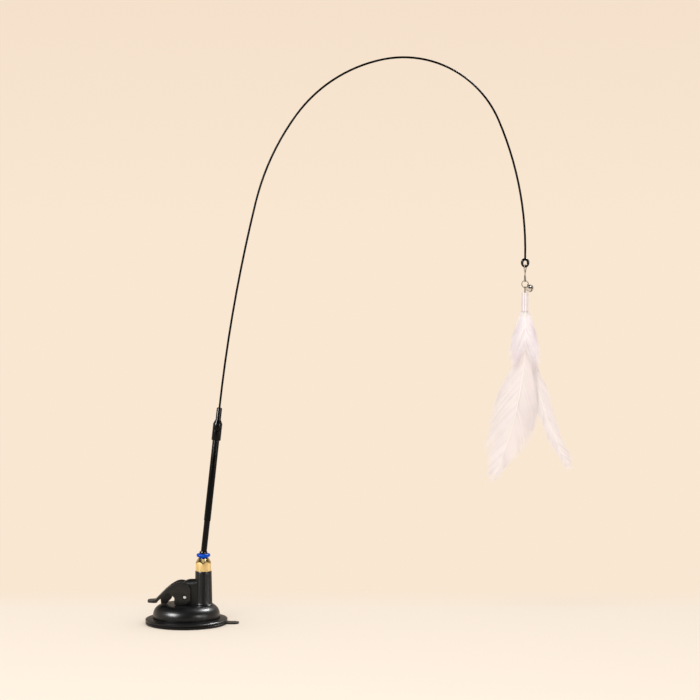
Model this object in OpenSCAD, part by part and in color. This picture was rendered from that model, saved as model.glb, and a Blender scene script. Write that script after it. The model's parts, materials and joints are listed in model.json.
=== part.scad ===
// Cat teaser wand on a lever suction base, drawn at rest: lever closed and wand pushed home.
// Z is up. The origin is the middle of the suction face, and the wand arches over towards +X.

/* [Suction cup] */
// Outer radius of the rubber cup
cup_r = 27.4; // [25:0.2:30]
// Thickness of the cup's rim
cup_rim_t = 1.9; // [1.5:0.1:2.4]
// Width of the flat ring that seals on the table
seal_w = 10; // [8:0.5:11]
// Height of the pulled up middle of the underside
cup_lift = 1.3; // [0.8:0.1:1.5]
// Radius of the boss that is moulded round the stem's disc
cup_boss_r = 10.5; // [10:0.25:11.5]
// Length of the pull tab beyond the rim
tab_l = 7.6; // [5:0.5:12]
// Width of the pull tab
tab_w = 9; // [6:0.5:14]
// Thickness of the pull tab
tab_t = 0.8; // [0.6:0.1:1.2]

/* [Housing] */
// Thickness of the flange
flange_t = 1.6; // [1.2:0.1:2]
// Radius of the dome where it is widest
dome_r = 22.3; // [21.5:0.1:23]
// Height of the dome's flat top above the flange
dome_rise = 9.5; // [9:0.25:12]
// Radius of the dome's rounded shoulder
shoulder_r = 6.9; // [5.5:0.1:7.5]
// Radius of the hollow under the dome
cavity_r = 16; // [15:0.25:17]
// Thickness of the dome's roof
roof_t = 3.8; // [3:0.1:4.2]
// Width of the tower that guides the stem
tower_w = 8; // [7.4:0.1:8.4]
// Height of the tower above the dome's flat top
tower_h = 16.9; // [14.5:0.1:18]
// Radius of the tower's rounded nose
nose_r = 10; // [9:0.25:10.5]
// Distance from the cup's axis to the tower's front face
tower_front = 5.6; // [5.2:0.1:6]
// Distance from the cup's axis to the post's axis
post_x = 11.45; // [11.3:0.05:12.5]
// Radius of the post at its top
post_r = 5.5; // [5.3:0.05:5.6]
// Radius of the post at its foot
post_foot_r = 5.9; // [5.7:0.05:6]
// Height of the post above the dome's flat top
post_h = 22.3; // [20:0.5:30]

/* [Stem and lever] */
// Distance from the cup's axis to the stem's axis
stem_x = 0.8; // [0.4:0.1:1]
// Radius of the stem
stem_r = 2.5; // [2.2:0.05:2.8]
// Radius of the disc at the stem's foot
disc_r = 9; // [7:0.25:9.5]
// Thickness of the disc at the stem's foot
disc_t = 1.5; // [1:0.1:1.8]
// Radius of the lever pin
pin_r = 1.15; // [1:0.05:1.3]
// Height of the lever pin above the dome's flat top when the lever is closed
pin_rise = 5.2; // [5:0.05:5.8]
// How far the stem drops when the lever is lifted
stem_drop = 0.8; // [0.5:0.05:0.9]
// Angle that the lever lifts through
lever_swing = 45; // [30:1:45]
// Width of the lever across its two cheeks
lever_w = 11.6; // [11.2:0.1:12.4]
// Distance from the pin to the tip of the finger tab
lever_reach = 25; // [23.5:0.25:27]
// Height of the lever's back above the pin
lever_rise = 10.35; // [9.8:0.05:10.6]
// Distance from the pin to the lever's nose
lever_nose = 3.8; // [3.4:0.1:3.9]
// Distance from the pin to the front of the lever's foot
foot_reach = 6.9; // [6:0.1:7.2]
// Thickness of the back that joins the cheeks, and of the finger tab
web_t = 1.3; // [1:0.1:1.5]
// Width of the finger tab
finger_w = 10.4; // [8:0.2:11]
// Thickness of the stop rib between the cheeks
rib_t = 3; // [2:0.25:4]

/* [Return spring] */
// Length of the spring when the lever is closed
spring_l = 3.6; // [3.2:0.1:4]
// Mean radius of the spring's coils
spring_r = 4.6; // [4.2:0.1:6]
// Radius of the spring's wire
spring_wire_r = 0.3; // [0.2:0.05:0.4]
// Number of coils
spring_coils = 3; // [2:0.5:4]

/* [Push-in fitting] */
// Distance across the hexagon's flats
hex_w = 10; // [9.6:0.1:10.4]
// Height of the hexagon with its chamfer
hex_h = 7.7; // [6.5:0.1:10]
// Height of the hexagon's turned cone
cone_h = 2.6; // [2:0.1:3]
// Height of the washer face under the hexagon
washer_h = 1.1; // [0.8:0.1:1.5]
// Radius of the shank in the post
shank_r = 4; // [3.9:0.05:4.2]
// Length of the shank in the post
shank_l = 10.7; // [9:0.1:13]
// Length of the rod that is pushed into the fitting, up to the mouth
socket_depth = 15.1; // [14:0.1:16]
// Radius of the passage under the rod
passage_r = 1.2; // [0.8:0.1:1.6]
// Outer radius of the release collar
collar_r = 4.6; // [4.2:0.1:5]
// Height of the release collar above the fitting
collar_h = 2.8; // [2.6:0.1:3.4]
// Radius of the collar's neck inside the fitting
collar_neck_r = 2.8; // [2.7:0.05:2.9]
// How far the release collar can be pressed
collar_travel = 0.6; // [0.4:0.1:0.8]
// Outer radius of the black liner
liner_r = 2.7; // [2.65:0.05:3]
// Height of the black liner above the collar
liner_h = 1.4; // [1:0.1:2]
// Radius of the O-ring's cord
seal_cord_r = 0.6; // [0.5:0.05:0.65]
// Number of teeth on the grip ring
grip_teeth = 8; // [6:1:10]

/* [Rod] */
// Radius of the rod
rod_r = 2; // [1.9:0.05:2]
// Angle by which the rod leans
rod_lean = 6.4; // [3:0.2:7]
// Height at which the rod's bend starts above the fitting
rod_over = 0.9; // [0.9:0.1:2]
// Bending radius of the rod at the collar
rod_bend_r = 15; // [12:1:20]
// Length of the rod beyond its bend
rod_l = 81.5; // [70:0.5:120]
// Radius of the shrink sleeve
sleeve_r = 2.27; // [2.2:0.01:2.6]
// Length of the shrink sleeve
sleeve_l = 54; // [40:1:60]
// Radius of the ferrule
ferrule_r = 3.1; // [2.9:0.05:3.5]
// Length of the ferrule's lower half
socket_l = 6.8; // [6:0.1:9]
// Length of rod inside the ferrule
rod_grip = 5; // [4:0.1:5.6]
// Length of the ferrule's upper half up to its cone
cap_l = 4.5; // [4.2:0.1:7]
// Length of the ferrule's cone
cap_cone = 2.7; // [2:0.1:4]
// Radius of the ferrule's neck
neck_r = 1.8; // [1.5:0.05:2.2]
// Length of the ferrule's neck
neck_l = 8.1; // [6:0.1:12]

/* [Spring wire] */
// Length of the wire from the ferrule to the eye
wire_l = 459.5; // [400:1:520]
// Radius of the steel core
core_r = 0.45; // [0.3:0.05:0.5]
// Radius of the black coating
coat_r = 0.6; // [0.55:0.05:0.8]
// Radius of the eye's stock
eye_stock_r = 0.7; // [0.65:0.05:0.75]
// Radius of the eye's bend
eye_bend_r = 1.95; // [1.9:0.05:2.2]
// Straight part of the eye's sides
eye_side = 0.9; // [0.6:0.1:1.6]
// Depth to which the wire sits in the eye
eye_seat = 0.3; // [0.2:0.05:0.4]

/* [Clip and ring] */
// Radius of the clip's wire
clip_wire_r = 0.33; // [0.28:0.01:0.35]
// Radius of the clip's top bend
clip_bend_r = 2; // [1.9:0.05:2.2]
// Distance from the wire's eye down to the clip's own eye
clip_l = 9.05; // [8:0.05:11]
// Radius of the clip's lower eye
clip_eye_r = 1; // [1:0.02:1.2]
// Turn of the clip about the vertical
clip_turn = 65; // [62:1:75]
// Radius of the split ring
ring_r = 2.3; // [2.2:0.05:2.6]
// Radius of the ring's wire
ring_wire_r = 0.3; // [0.25:0.01:0.32]
// Turn of the ring about the vertical
ring_turn = -25; // [-35:1:-20]

/* [Bell] */
// Outer radius of the bell
bell_r = 2.5; // [2.2:0.05:2.5]
// Wall of the bell
bell_wall = 0.35; // [0.25:0.05:0.4]
// Width of the bell's sounding slot
bell_slot = 0.7; // [0.4:0.1:1]
// Radius of the ball inside the bell
ball_r = 0.9; // [0.7:0.05:1]
// Radius of the bell's loop
bell_loop_r = 0.75; // [0.72:0.01:0.8]
// Radius of the wire of the bell's loop
bell_wire_r = 0.22; // [0.18:0.01:0.24]
// Where the bell hooks on the ring, below its middle
bell_hook = 18; // [12:1:24]
// How far the bell droops beyond the ring's radius there
bell_droop = 25; // [20:1:28]
// How far the bell stands forward from the ring's plane
bell_side = 35; // [30:1:45]
// Distance from the ring's wire to the middle of the bell
bell_drop = 3.2; // [3.1:0.05:3.3]

/* [Feathers] */
// Radius of the loop that carries the feathers
loop_r = 1; // [0.9:0.05:1.1]
// Radius of the loop's wire
loop_wire_r = 0.25; // [0.2:0.01:0.3]
// Length of the loop's legs
loop_leg = 10; // [8:0.2:12]
// Distance from the ring down to the clear tube
tube_hang = 3.3; // [3:0.1:5]
// Outer radius of the clear tube round the quills
tube_r = 2.35; // [2.2:0.05:2.35]
// Wall of the clear tube
tube_wall = 0.35; // [0.25:0.05:0.4]
// Length of the clear tube
tube_l = 12.4; // [10:0.2:16]
// Length of the long feather
long_l = 115; // [90:1:130]
// Width of the long feather's vane on each side
long_w = 15.5; // [10:0.5:18]
// Length of the side feather
side_l = 106; // [80:1:120]
// Width of the side feather's vane on each side
side_w = 6.4; // [4:0.2:8]
// Length of the back feather
back_l = 82; // [60:1:95]
// Width of the back feather's vane on each side
back_w = 8; // [5:0.5:10]
// Length of the down at the quills
down_l = 40; // [30:1:50]
// Width of the down on each side
down_w = 9; // [6:0.5:11]
// Thickness of the down on each side of the feathers
down_t = 2.3; // [1.5:0.1:3]
// Distance between one vane and the next
layer_step = 1.5; // [1.3:0.05:1.8]
// Thickness of a vane
vane_t = 0.7; // [0.5:0.05:0.8]
// Radius of a quill
quill_r = 0.42; // [0.3:0.02:0.45]

/* [Hidden] */
$fn = 64;

// Clearances, small edges and the overrun of cuts
run_gap = 0.05;
rest_gap = 0.3;
hook_gap = 0.06;
snug = 0.01;
cut = 1;
rim_r = 0.45;
small_edge = 0.4;
colour_black = "#1c1c1e";
colour_rubber = "#232323";
colour_steel = "#c9ccd0";
colour_brass = "#d8ab5c";
colour_blue = "#0a50c8";
colour_vane = "#f4eff3";

// Levels and places of the base, all worked out from the sizes above
flange_top = cup_rim_t + flange_t;
deck = flange_top + dome_rise;
roof = deck - roof_t;
boss_top = roof - spring_l;
pin_z = deck + pin_rise;
post_top = deck + post_h;
mouth = post_top + washer_h + hex_h;
bend_z = mouth + rod_over;
half_w = lever_w / 2;
cheek_in = tower_w / 2 + rest_gap;
cheek_t = half_w - cheek_in;
foot_drop = pin_rise - rest_gap;
cam_rate = stem_drop / lever_swing;
cam_offset = cam_rate * 180 / PI;

function unit2(v) = v / norm(v);

// Closed outline with each corner rounded: corners are [x, y, radius]
function round_corner(a, b, c, n) =
    let (p = [b[0], b[1]], u = unit2([a[0], a[1]] - p), v = unit2([c[0], c[1]] - p),
         half = acos(max(-1, min(1, u * v))) / 2, r = b[2],
         t = r / tan(half), mid = p + unit2(u + v) * (r / sin(half)),
         s = p + u * t - mid, e = p + v * t - mid,
         from = atan2(s[1], s[0]), turn = (atan2(e[1], e[0]) - from + 540) % 360 - 180)
    r == 0 ? [p] : [for (i = [0:n]) mid + r * [cos(from + turn * i / n), sin(from + turn * i / n)]];
function rounded(pts, n = 6) =
    [for (i = [0:len(pts) - 1])
        each round_corner(pts[(i + len(pts) - 1) % len(pts)], pts[i], pts[(i + 1) % len(pts)], n)];

// An open line moved by d to the right of its run
function side_step(line, d) =
    [for (i = [0:len(line) - 1])
        let (t = unit2(line[min(i + 1, len(line) - 1)] - line[max(i - 1, 0)]))
        line[i] + d * [t[1], -t[0]]];

// A round bar between two points, and one with round ends
module bar(a, b, r) {
    d = b - a;
    translate(a) rotate([0, acos(d[2] / norm(d)), atan2(d[1], d[0])]) cylinder(h = norm(d), r = r);
}
module round_bar(a, b, r) {
    bar(a, b, r);
    translate(a) sphere(r + snug);
    translate(b) sphere(r + snug);
}
module torus(r, stock) {
    rotate_extrude() translate([r, 0]) circle(stock);
}
module half_torus(r, stock) {
    rotate([90, 0, 0]) rotate_extrude(angle = 180) translate([r, 0]) circle(stock);
}

// Rubber cup with its seal ring, lifted middle, stem boss and pull tab
disc_z = boss_top - 1.45 * disc_t;
seal_r = cup_r - seal_w;
module suction_cup() {
    color(colour_rubber) difference() {
        union() {
            rotate_extrude() polygon([
                [0, cup_lift], [cup_boss_r, cup_lift * 0.9], [seal_r * 0.85, cup_lift * 0.3],
                [seal_r, 0], [cup_r - small_edge, 0], [cup_r, small_edge],
                [cup_r, cup_rim_t - small_edge], [cup_r - small_edge, cup_rim_t],
                [cup_boss_r + cup_rim_t, cup_rim_t], [cup_boss_r + small_edge, cup_rim_t + small_edge],
                [cup_boss_r, cup_rim_t + 2 * small_edge],
                [cup_boss_r, boss_top - small_edge], [cup_boss_r - small_edge, boss_top], [0, boss_top]]);
            pull_tab();
        }
        translate([-stem_x, 0, disc_z - run_gap]) cylinder(h = disc_t + 2 * run_gap, r = disc_r + run_gap);
        translate([-stem_x, 0, disc_z]) cylinder(h = boss_top, r = stem_r + run_gap);
    }
}
module pull_tab() {
    tip = cup_r + tab_l;
    difference() {
        linear_extrude(tab_t) polygon(rounded([
            [cup_r - seal_w / 2, tab_w / 2, 0], [tip, tab_w / 2, tab_w * 0.4],
            [tip, -tab_w / 2, tab_w * 0.4], [cup_r - seal_w / 2, -tab_w / 2, 0]]));
        for (i = [1:3]) translate([tip - tab_w * 0.2 * i, 0, tab_t * 1.25])
            rotate([90, 0, 0]) cylinder(h = tab_w, r = tab_t / 2, center = true);
    }
}

// Housing: flange, dome, stem tower and post in one moulding
module housing() {
    color(colour_black) difference() {
        union() {
            dome();
            tower();
            post();
        }
        cavity();
        translate([-stem_x, 0, roof - cut])
            cylinder(h = stem_top + rest_gap * 2 - roof + cut, r = stem_r + run_gap);
        pin_slot();
        translate([post_x, 0, post_top - shank_l - rest_gap]) cylinder(h = shank_l + cut, r = shank_r + snug);
    }
}
shoulder_mid = [dome_r - shoulder_r, deck - shoulder_r];
lip_w = 0.9;
groove_w = 0.5;
module dome() {
    rotate_extrude() polygon(concat(
        [[0, cup_rim_t], [cup_r - small_edge, cup_rim_t], [cup_r, cup_rim_t + small_edge],
         [cup_r, flange_top - small_edge], [cup_r - small_edge, flange_top - 0.05 * flange_t],
         [dome_r + lip_w, flange_top + 0.2 * flange_t], [dome_r + small_edge, flange_top + 0.2 * flange_t],
         [dome_r - groove_w * 0.4, flange_top - groove_w * 0.4],
         [dome_r - groove_w * 0.5, flange_top + groove_w],
         [dome_r, flange_top + 2 * groove_w]],
        [for (a = [0:6:90]) shoulder_mid + shoulder_r * [cos(a), sin(a)]],
        [[0, deck]]));
}
module cavity() {
    rotate_extrude() polygon([
        [0, cup_rim_t - cut], [cavity_r, cup_rim_t - cut], [cavity_r, roof - roof_t / 2],
        [cavity_r - roof_t / 2, roof], [0, roof]]);
}
nose_x = nose_r - tower_front;
module tower() {
    intersection() {
        translate([0, tower_w / 2, 0]) rotate([90, 0, 0]) linear_extrude(tower_w) polygon(concat(
            [[post_x, deck - cut], [-tower_front, deck - cut]],
            [for (a = [180:-6:90]) [nose_x + nose_r * cos(a), deck + tower_h - nose_r + nose_r * sin(a)]],
            [[post_x, deck + tower_h]]));
        translate([-tower_front - cut, 0, 0]) rotate([90, 0, 90])
            linear_extrude(tower_front + post_x + 2 * cut) polygon(concat(
                [[-tower_w / 2, 0], [tower_w / 2, 0]],
                [for (a = [0:9:180])
                    [tower_w / 2 * cos(a), deck + tower_h - tower_w / 2 + tower_w / 2 * sin(a)]]));
    }
}
fillet_r = 0.8;
module post() {
    translate([post_x, 0, deck - cut]) cylinder(h = cut, r = post_foot_r);
    translate([post_x, 0, deck]) cylinder(h = post_h - small_edge, r1 = post_foot_r, r2 = post_r);
    translate([post_x, 0, post_top - small_edge])
        cylinder(h = small_edge, r1 = post_r, r2 = post_r - small_edge / 2);
    translate([post_x, 0, deck]) rotate_extrude() polygon(concat(
        [[0, -cut], [post_foot_r + fillet_r, -cut]],
        [for (a = [270:-15:180]) [post_foot_r + fillet_r + fillet_r * cos(a), fillet_r + fillet_r * sin(a)]],
        [[0, fillet_r]]));
}
module pin_slot() {
    slot_r = pin_r + run_gap;
    for (z = [pin_z, pin_z - stem_drop]) translate([-stem_x, 0, z]) rotate([90, 0, 0])
        cylinder(h = tower_w + 2 * cut, r = slot_r, center = true);
    translate([-stem_x - slot_r, -tower_w / 2 - cut, pin_z - stem_drop])
        cube([2 * slot_r, tower_w + 2 * cut, stem_drop]);
}

// Stem, its moulded-in disc and the lever pin
stem_top = pin_z + 2.6 * pin_r;
module stem() {
    color(colour_steel) difference() {
        union() {
            translate([-stem_x, 0, disc_z + disc_t])
                cylinder(h = stem_top - disc_z - disc_t - small_edge, r = stem_r);
            translate([-stem_x, 0, stem_top - small_edge])
                cylinder(h = small_edge, r1 = stem_r, r2 = stem_r - small_edge);
        }
        translate([-stem_x, 0, pin_z]) rotate([90, 0, 0]) cylinder(h = 3 * stem_r, r = pin_r, center = true);
    }
}
module stem_disc() {
    color(colour_steel) translate([-stem_x, 0, disc_z]) cylinder(h = disc_t, r = disc_r);
}
pin_l = lever_w - rest_gap;
module lever_pin() {
    color(colour_steel) translate([-stem_x, 0, pin_z]) rotate([90, 0, 0]) rotate_extrude() polygon([
        [0, -pin_l / 2], [pin_r - rest_gap, -pin_l / 2], [pin_r, rest_gap - pin_l / 2],
        [pin_r, pin_l / 2 - rest_gap], [pin_r - rest_gap, pin_l / 2], [0, pin_l / 2]]);
}

// Lever: two cam cheeks, joined by the back, with a finger tab and a stop rib.
// Corners are [x, z, radius] from the pin, as shares of the lever's reach and rise.
finger_low = -0.36 * lever_rise;
finger_top = finger_low + web_t;
tail_corner = [-0.875 * lever_reach, finger_top, 1.15 * rim_r];
back_low = [-0.808 * lever_reach, finger_top, 0.2 * lever_rise];
back_mid = [-0.424 * lever_reach, 0.705 * lever_rise, 2.9 * lever_rise];
back_top = [-0.18 * lever_reach, lever_rise, 0.68 * lever_rise];
arch_top = [-0.44 * lever_reach, 0.338 * lever_rise, 0.15 * lever_rise];
arch_low = [-0.772 * lever_reach, finger_low, 0.145 * lever_rise];
web_end = -0.38 * lever_reach;

// The cam pushes on the deck at the same gap for every angle, while the stem drops evenly
function cam(a) =
    let (h = foot_drop - cam_rate * a)
    [h * sin(a) - cam_offset * cos(a), -h * cos(a) - cam_offset * sin(a)];
cam_end = cam(lever_swing);
nose_low = [lever_nose, cam_end[1] + (lever_nose - cam_end[0]) * tan(lever_swing), 0.1 * lever_rise];
function cheek_outline() =
    let (head = [tail_corner, back_low, back_mid, back_top,
                 [lever_nose, lever_rise, 0.58 * lever_rise], nose_low, [cam_end[0], cam_end[1], 0]],
         foot = [[cam(0)[0], cam(0)[1], 0], [-foot_reach, -foot_drop, 0.08 * lever_rise],
                 [-foot_reach, -0.02 * lever_rise, 0.1 * lever_rise], arch_top, arch_low,
                 [tail_corner[0], finger_low, 1.15 * rim_r]],
         n = len(head), all = concat(head, foot), m = len(all))
    [for (i = [0:m - 1])
        each i == n - 1 ? [for (a = [lever_swing:-5:1]) cam(a)]
            : round_corner(all[(i + m - 1) % m], all[i], all[(i + 1) % m], all[i][2] > lever_rise ? 10 : 6)];
module lever() {
    color(colour_black) translate([-stem_x, 0, pin_z]) difference() {
        union() {
            cheek();
            mirror([0, 1, 0]) cheek();
            lever_back();
            finger_tab();
            stop_rib();
        }
        rotate([90, 0, 0]) cylinder(h = lever_w + cut, r = pin_r + run_gap, center = true);
        for (s = [-1, 1]) translate([0, s * half_w, 0]) rotate([90, 0, 0])
            cylinder(h = 2 * small_edge, r = 1.45 * pin_r, center = true);
    }
}
module cheek() {
    translate([0, cheek_t - half_w, 0]) rotate([90, 0, 0]) linear_extrude(cheek_t) polygon(cheek_outline());
}
module lever_back() {
    line = concat([[tail_corner[0] + rim_r, finger_top]], round_corner(tail_corner, back_low, back_mid, 6),
        round_corner(back_low, back_mid, back_top, 10));
    inner = side_step(line, web_t);
    difference() {
        translate([0, cheek_in + cheek_t / 2, 0]) rotate([90, 0, 0]) linear_extrude(2 * cheek_in + cheek_t)
            polygon(concat(line, [for (i = [len(inner) - 1:-1:0]) inner[i]]));
        translate([web_end, -half_w, 0]) cube([lever_reach, lever_w, 2 * lever_rise]);
    }
}
module finger_tab() {
    root = -0.74 * lever_reach;
    translate([0, 0, finger_low]) linear_extrude(web_t) polygon(rounded([
        [root, -cheek_in, 0], [-0.85 * lever_reach, -finger_w / 2, web_t],
        [-lever_reach, -finger_w / 2, finger_w * 0.3], [-lever_reach, finger_w / 2, finger_w * 0.3],
        [-0.85 * lever_reach, finger_w / 2, web_t], [root, cheek_in, 0]]));
}
module stop_rib() {
    translate([0, rib_t / 2, 0]) rotate([90, 0, 0]) linear_extrude(rib_t) polygon(rounded([
        [-0.644 * lever_reach, -foot_drop, small_edge], [-0.664 * lever_reach, 0.03 * lever_rise, 0],
        [-0.386 * lever_reach, 0.66 * lever_rise, 0],
        [-0.348 * lever_reach, -0.077 * lever_rise, 0.14 * lever_rise],
        [-0.496 * lever_reach, -foot_drop, 0.1 * lever_rise]]));
}

// Return spring round the stem, between the cup's boss and the dome's roof
module return_spring() {
    rise = spring_l - 2 * (spring_wire_r + snug);
    turns = spring_coils * 360;
    step = 20;
    rings = ceil(turns / step);
    sides = 8;
    pts = [for (k = [0:rings], j = [0:sides - 1])
        let (a = turns * k / rings, b = 360 * j / sides, r = spring_r + spring_wire_r * cos(b))
        [r * cos(a), r * sin(a), rise * k / rings + spring_wire_r * sin(b)]];
    color(colour_steel) translate([-stem_x, 0, boss_top + spring_wire_r + snug]) polyhedron(pts, concat(
        [[for (j = [0:sides - 1]) j]], [[for (j = [sides - 1:-1:0]) rings * sides + j]],
        [for (k = [0:rings - 1], j = [0:sides - 1])
            [k * sides + j, (k + 1) * sides + j,
             (k + 1) * sides + (j + 1) % sides, k * sides + (j + 1) % sides]]));
}

// Push-in fitting: brass body, O-ring, toothed grip ring and release collar
washer_top = post_top + washer_h;
socket_z = mouth - socket_depth;
seal_z = post_top + washer_h / 2 - seal_cord_r / 4;
grip_z = mouth - 0.78 * hex_h;
grip_h = 0.1 * hex_h;
grip_r = collar_neck_r + 0.15 * collar_neck_r;
module on_post(z) {
    translate([post_x, 0, z]) children();
}
module fitting_body() {
    color(colour_brass) difference() {
        union() {
            on_post(post_top - shank_l) cylinder(h = shank_l + washer_h, r = shank_r);
            on_post(post_top) cylinder(h = washer_h, r = 1.03 * hex_w / 2);
            intersection() {
                on_post(washer_top) rotate(30) cylinder(h = hex_h, r = hex_w / 2 / cos(30), $fn = 6);
                union() {
                    on_post(mouth - 2 * cone_h) cylinder(h = 2 * cone_h, r1 = hex_w - mouth_r, r2 = mouth_r);
                    on_post(washer_top) cylinder(h = hex_h - 2 * cone_h, r = hex_w - mouth_r);
                }
            }
        }
        on_post(post_top - shank_l - cut) cylinder(h = shank_l + hex_h, r = passage_r);
        on_post(socket_z) cylinder(h = socket_depth + cut, r = rod_r + run_gap);
        on_post(seal_z - seal_cord_r - snug)
            cylinder(h = 2 * (seal_cord_r + snug), r = rod_r + 2 * seal_cord_r + 2 * snug);
        on_post(grip_z - run_gap) cylinder(h = grip_h + 2 * run_gap + collar_travel, r = grip_r + run_gap);
        on_post(grip_z) cylinder(h = mouth, r = collar_neck_r + run_gap);
        on_post(mouth - small_edge)
            cylinder(h = small_edge, r1 = collar_neck_r + run_gap, r2 = collar_neck_r + small_edge);
    }
}
mouth_r = collar_neck_r + 1.4 * small_edge;
module o_ring() {
    color(colour_rubber) on_post(seal_z) torus(rod_r + snug + seal_cord_r, seal_cord_r);
}
module grip_ring() {
    tooth = grip_h * 0.35;
    color(colour_steel) difference() {
        on_post(grip_z) rotate_extrude() polygon([
            [rod_r + run_gap, 0], [grip_r, grip_h - tooth], [grip_r, grip_h],
            [grip_r - tooth, grip_h], [rod_r + run_gap, tooth]]);
        for (i = [1:grip_teeth]) on_post(grip_z - cut) rotate(i * 360 / grip_teeth)
            translate([0, -tooth / 2, 0]) cube([collar_neck_r, tooth, grip_h + 2 * cut]);
    }
}
collar_z = mouth + collar_travel + run_gap;
collar_top = mouth + collar_h;
neck_foot = grip_z + grip_h + collar_travel + 2 * run_gap;
bore_flare = 0.3;
module release_collar() {
    head = collar_top - collar_z;
    color(colour_blue) difference() {
        on_post(0) rotate_extrude() polygon(concat(
            [[0, neck_foot], [collar_neck_r, neck_foot], [collar_neck_r, collar_z],
             [1.12 * collar_neck_r, collar_z], [0.93 * collar_r, collar_z + 0.38 * head]],
            [for (a = [-20:10:90])
                [collar_r - head * 0.3 + head * 0.3 * cos(a), collar_top - head * 0.3 + head * 0.3 * sin(a)]],
            [[0, collar_top]]));
        on_post(neck_foot - cut) cylinder(h = collar_top, r = rod_r + run_gap);
        on_post(bend_z) cylinder(h = collar_top - bend_z, r1 = rod_r + run_gap, r2 = rod_r + bore_flare);
        on_post(collar_top) cylinder(h = cut, r = rod_r + bore_flare);
    }
}
module collar_liner() {
    color(colour_black) difference() {
        on_post(collar_top) union() {
            cylinder(h = liner_h - small_edge, r = liner_r);
            translate([0, 0, liner_h - small_edge])
                cylinder(h = small_edge, r1 = liner_r, r2 = liner_r - small_edge / 2);
        }
        on_post(collar_top - cut) cylinder(h = cut + liner_h, r = rod_r + bore_flare);
        on_post(collar_top) cylinder(h = liner_h, r1 = rod_r + bore_flare, r2 = rod_r + 1.6 * bore_flare);
        on_post(collar_top + liner_h) cylinder(h = cut, r = rod_r + 1.6 * bore_flare);
    }
}

// Rod: it stands upright in the fitting and leans over beyond a short bend
rod_foot = socket_z + run_gap;
bend_end = [post_x + rod_bend_r * (1 - cos(rod_lean)), 0, bend_z + rod_bend_r * sin(rod_lean)];
module on_rod(s) {
    translate(bend_end + s * [sin(rod_lean), 0, cos(rod_lean)]) rotate([0, rod_lean, 0]) children();
}

// A bend in the x-z plane that starts at [x, z, heading]; headings run from up towards +X.
// It stops a hair short, and a joint bridges it to what follows.
module bend(start, r, turn) {
    short = snug * 180 / (PI * r);
    translate([start[0] + r * cos(start[2]), 0, start[1] - r * sin(start[2])]) rotate([90, 0, 0])
        rotate(180 - start[2] - turn + short)
            rotate_extrude(angle = turn - short) translate([r, 0]) children();
}
module joint(state, l) {
    translate([state[0], 0, state[1]]) rotate([0, state[2], 0]) translate([0, 0, -l / 2])
        linear_extrude(l) children();
}
module rod() {
    start = [post_x, bend_z, 0];
    color(colour_black) {
        on_post(rod_foot) cylinder(h = bend_z - rod_foot - snug, r = rod_r);
        joint(start, rod_r / 4) circle(rod_r + snug);
        bend(start, rod_bend_r, rod_lean) circle(rod_r);
        joint([bend_end[0], bend_end[2], rod_lean], rod_r / 4) circle(rod_r + snug);
        on_rod(0) cylinder(h = rod_l, r = rod_r);
    }
}
sleeve_end = rod_l - rod_grip;
socket_end = sleeve_end + socket_l;
cap_end = socket_end + cap_l;
neck_start = cap_end + cap_cone;
neck_end = neck_start + neck_l;
wire_foot = cap_end + 0.1 * cap_cone;
spigot_l = 0.73 * cap_l;
spigot_r = 0.55 * ferrule_r;
module shrink_sleeve() {
    color(colour_black) on_rod(sleeve_end - sleeve_l) difference() {
        union() {
            cylinder(h = small_edge, r1 = sleeve_r - small_edge / 4, r2 = sleeve_r);
            translate([0, 0, small_edge]) cylinder(h = sleeve_l - small_edge, r = sleeve_r);
        }
        translate([0, 0, -cut]) cylinder(h = sleeve_l + 2 * cut, r = rod_r + snug);
    }
}
module ferrule_socket() {
    color(colour_black) on_rod(sleeve_end) difference() {
        rotate_extrude() polygon([
            [0, 0], [ferrule_r - small_edge, 0], [ferrule_r, small_edge],
            [ferrule_r, socket_l - small_edge / 2], [ferrule_r - small_edge / 2, socket_l],
            [spigot_r, socket_l], [spigot_r, socket_l + spigot_l], [0, socket_l + spigot_l]]);
        translate([0, 0, -cut]) cylinder(h = rod_grip + cut, r = rod_r + snug);
    }
}
module ferrule_cap() {
    top = neck_end - socket_end;
    color(colour_black) on_rod(socket_end) difference() {
        rotate_extrude() polygon([
            [0, 0], [ferrule_r - small_edge / 2, 0], [ferrule_r, small_edge / 2], [ferrule_r, cap_l],
            [neck_r, cap_l + cap_cone], [neck_r, top - 1.5 * small_edge],
            [neck_r - small_edge / 2, top - small_edge / 2], [neck_r - 1.5 * small_edge, top], [0, top]]);
        translate([0, 0, -cut]) cylinder(h = spigot_l + cut + snug, r = spigot_r + snug);
        translate([0, 0, wire_foot - socket_end]) cylinder(h = top, r = coat_r + snug);
    }
}

// Spring wire: straight in the ferrule, then five bends that meet without a kink
run_shares = [0.302, 0.139, 0.152, 0.202, 0.205];
wire_turns = [7.5, 22.4, 42.5, 77.7, 24.8];
wire_start = bend_end + neck_end * [sin(rod_lean), 0, cos(rod_lean)];
function wire_bend_r(i) = wire_l * run_shares[i] * 180 / (PI * wire_turns[i]);
function wire_state(i) =
    i == 0 ? [wire_start[0], wire_start[2], rod_lean]
        : let (s = wire_state(i - 1), r = wire_bend_r(i - 1), h = s[2] + wire_turns[i - 1])
          [s[0] + r * (cos(s[2]) - cos(h)), s[1] + r * (sin(h) - sin(s[2])), h];
module wire_core() {
    color(colour_steel) {
        on_rod(wire_foot) cylinder(h = neck_end - wire_foot - snug, r = core_r);
        for (i = [0:len(wire_turns) - 1]) {
            joint(wire_state(i), core_r) circle(core_r + snug);
            bend(wire_state(i), wire_bend_r(i), wire_turns[i]) circle(core_r);
        }
    }
}
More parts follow.
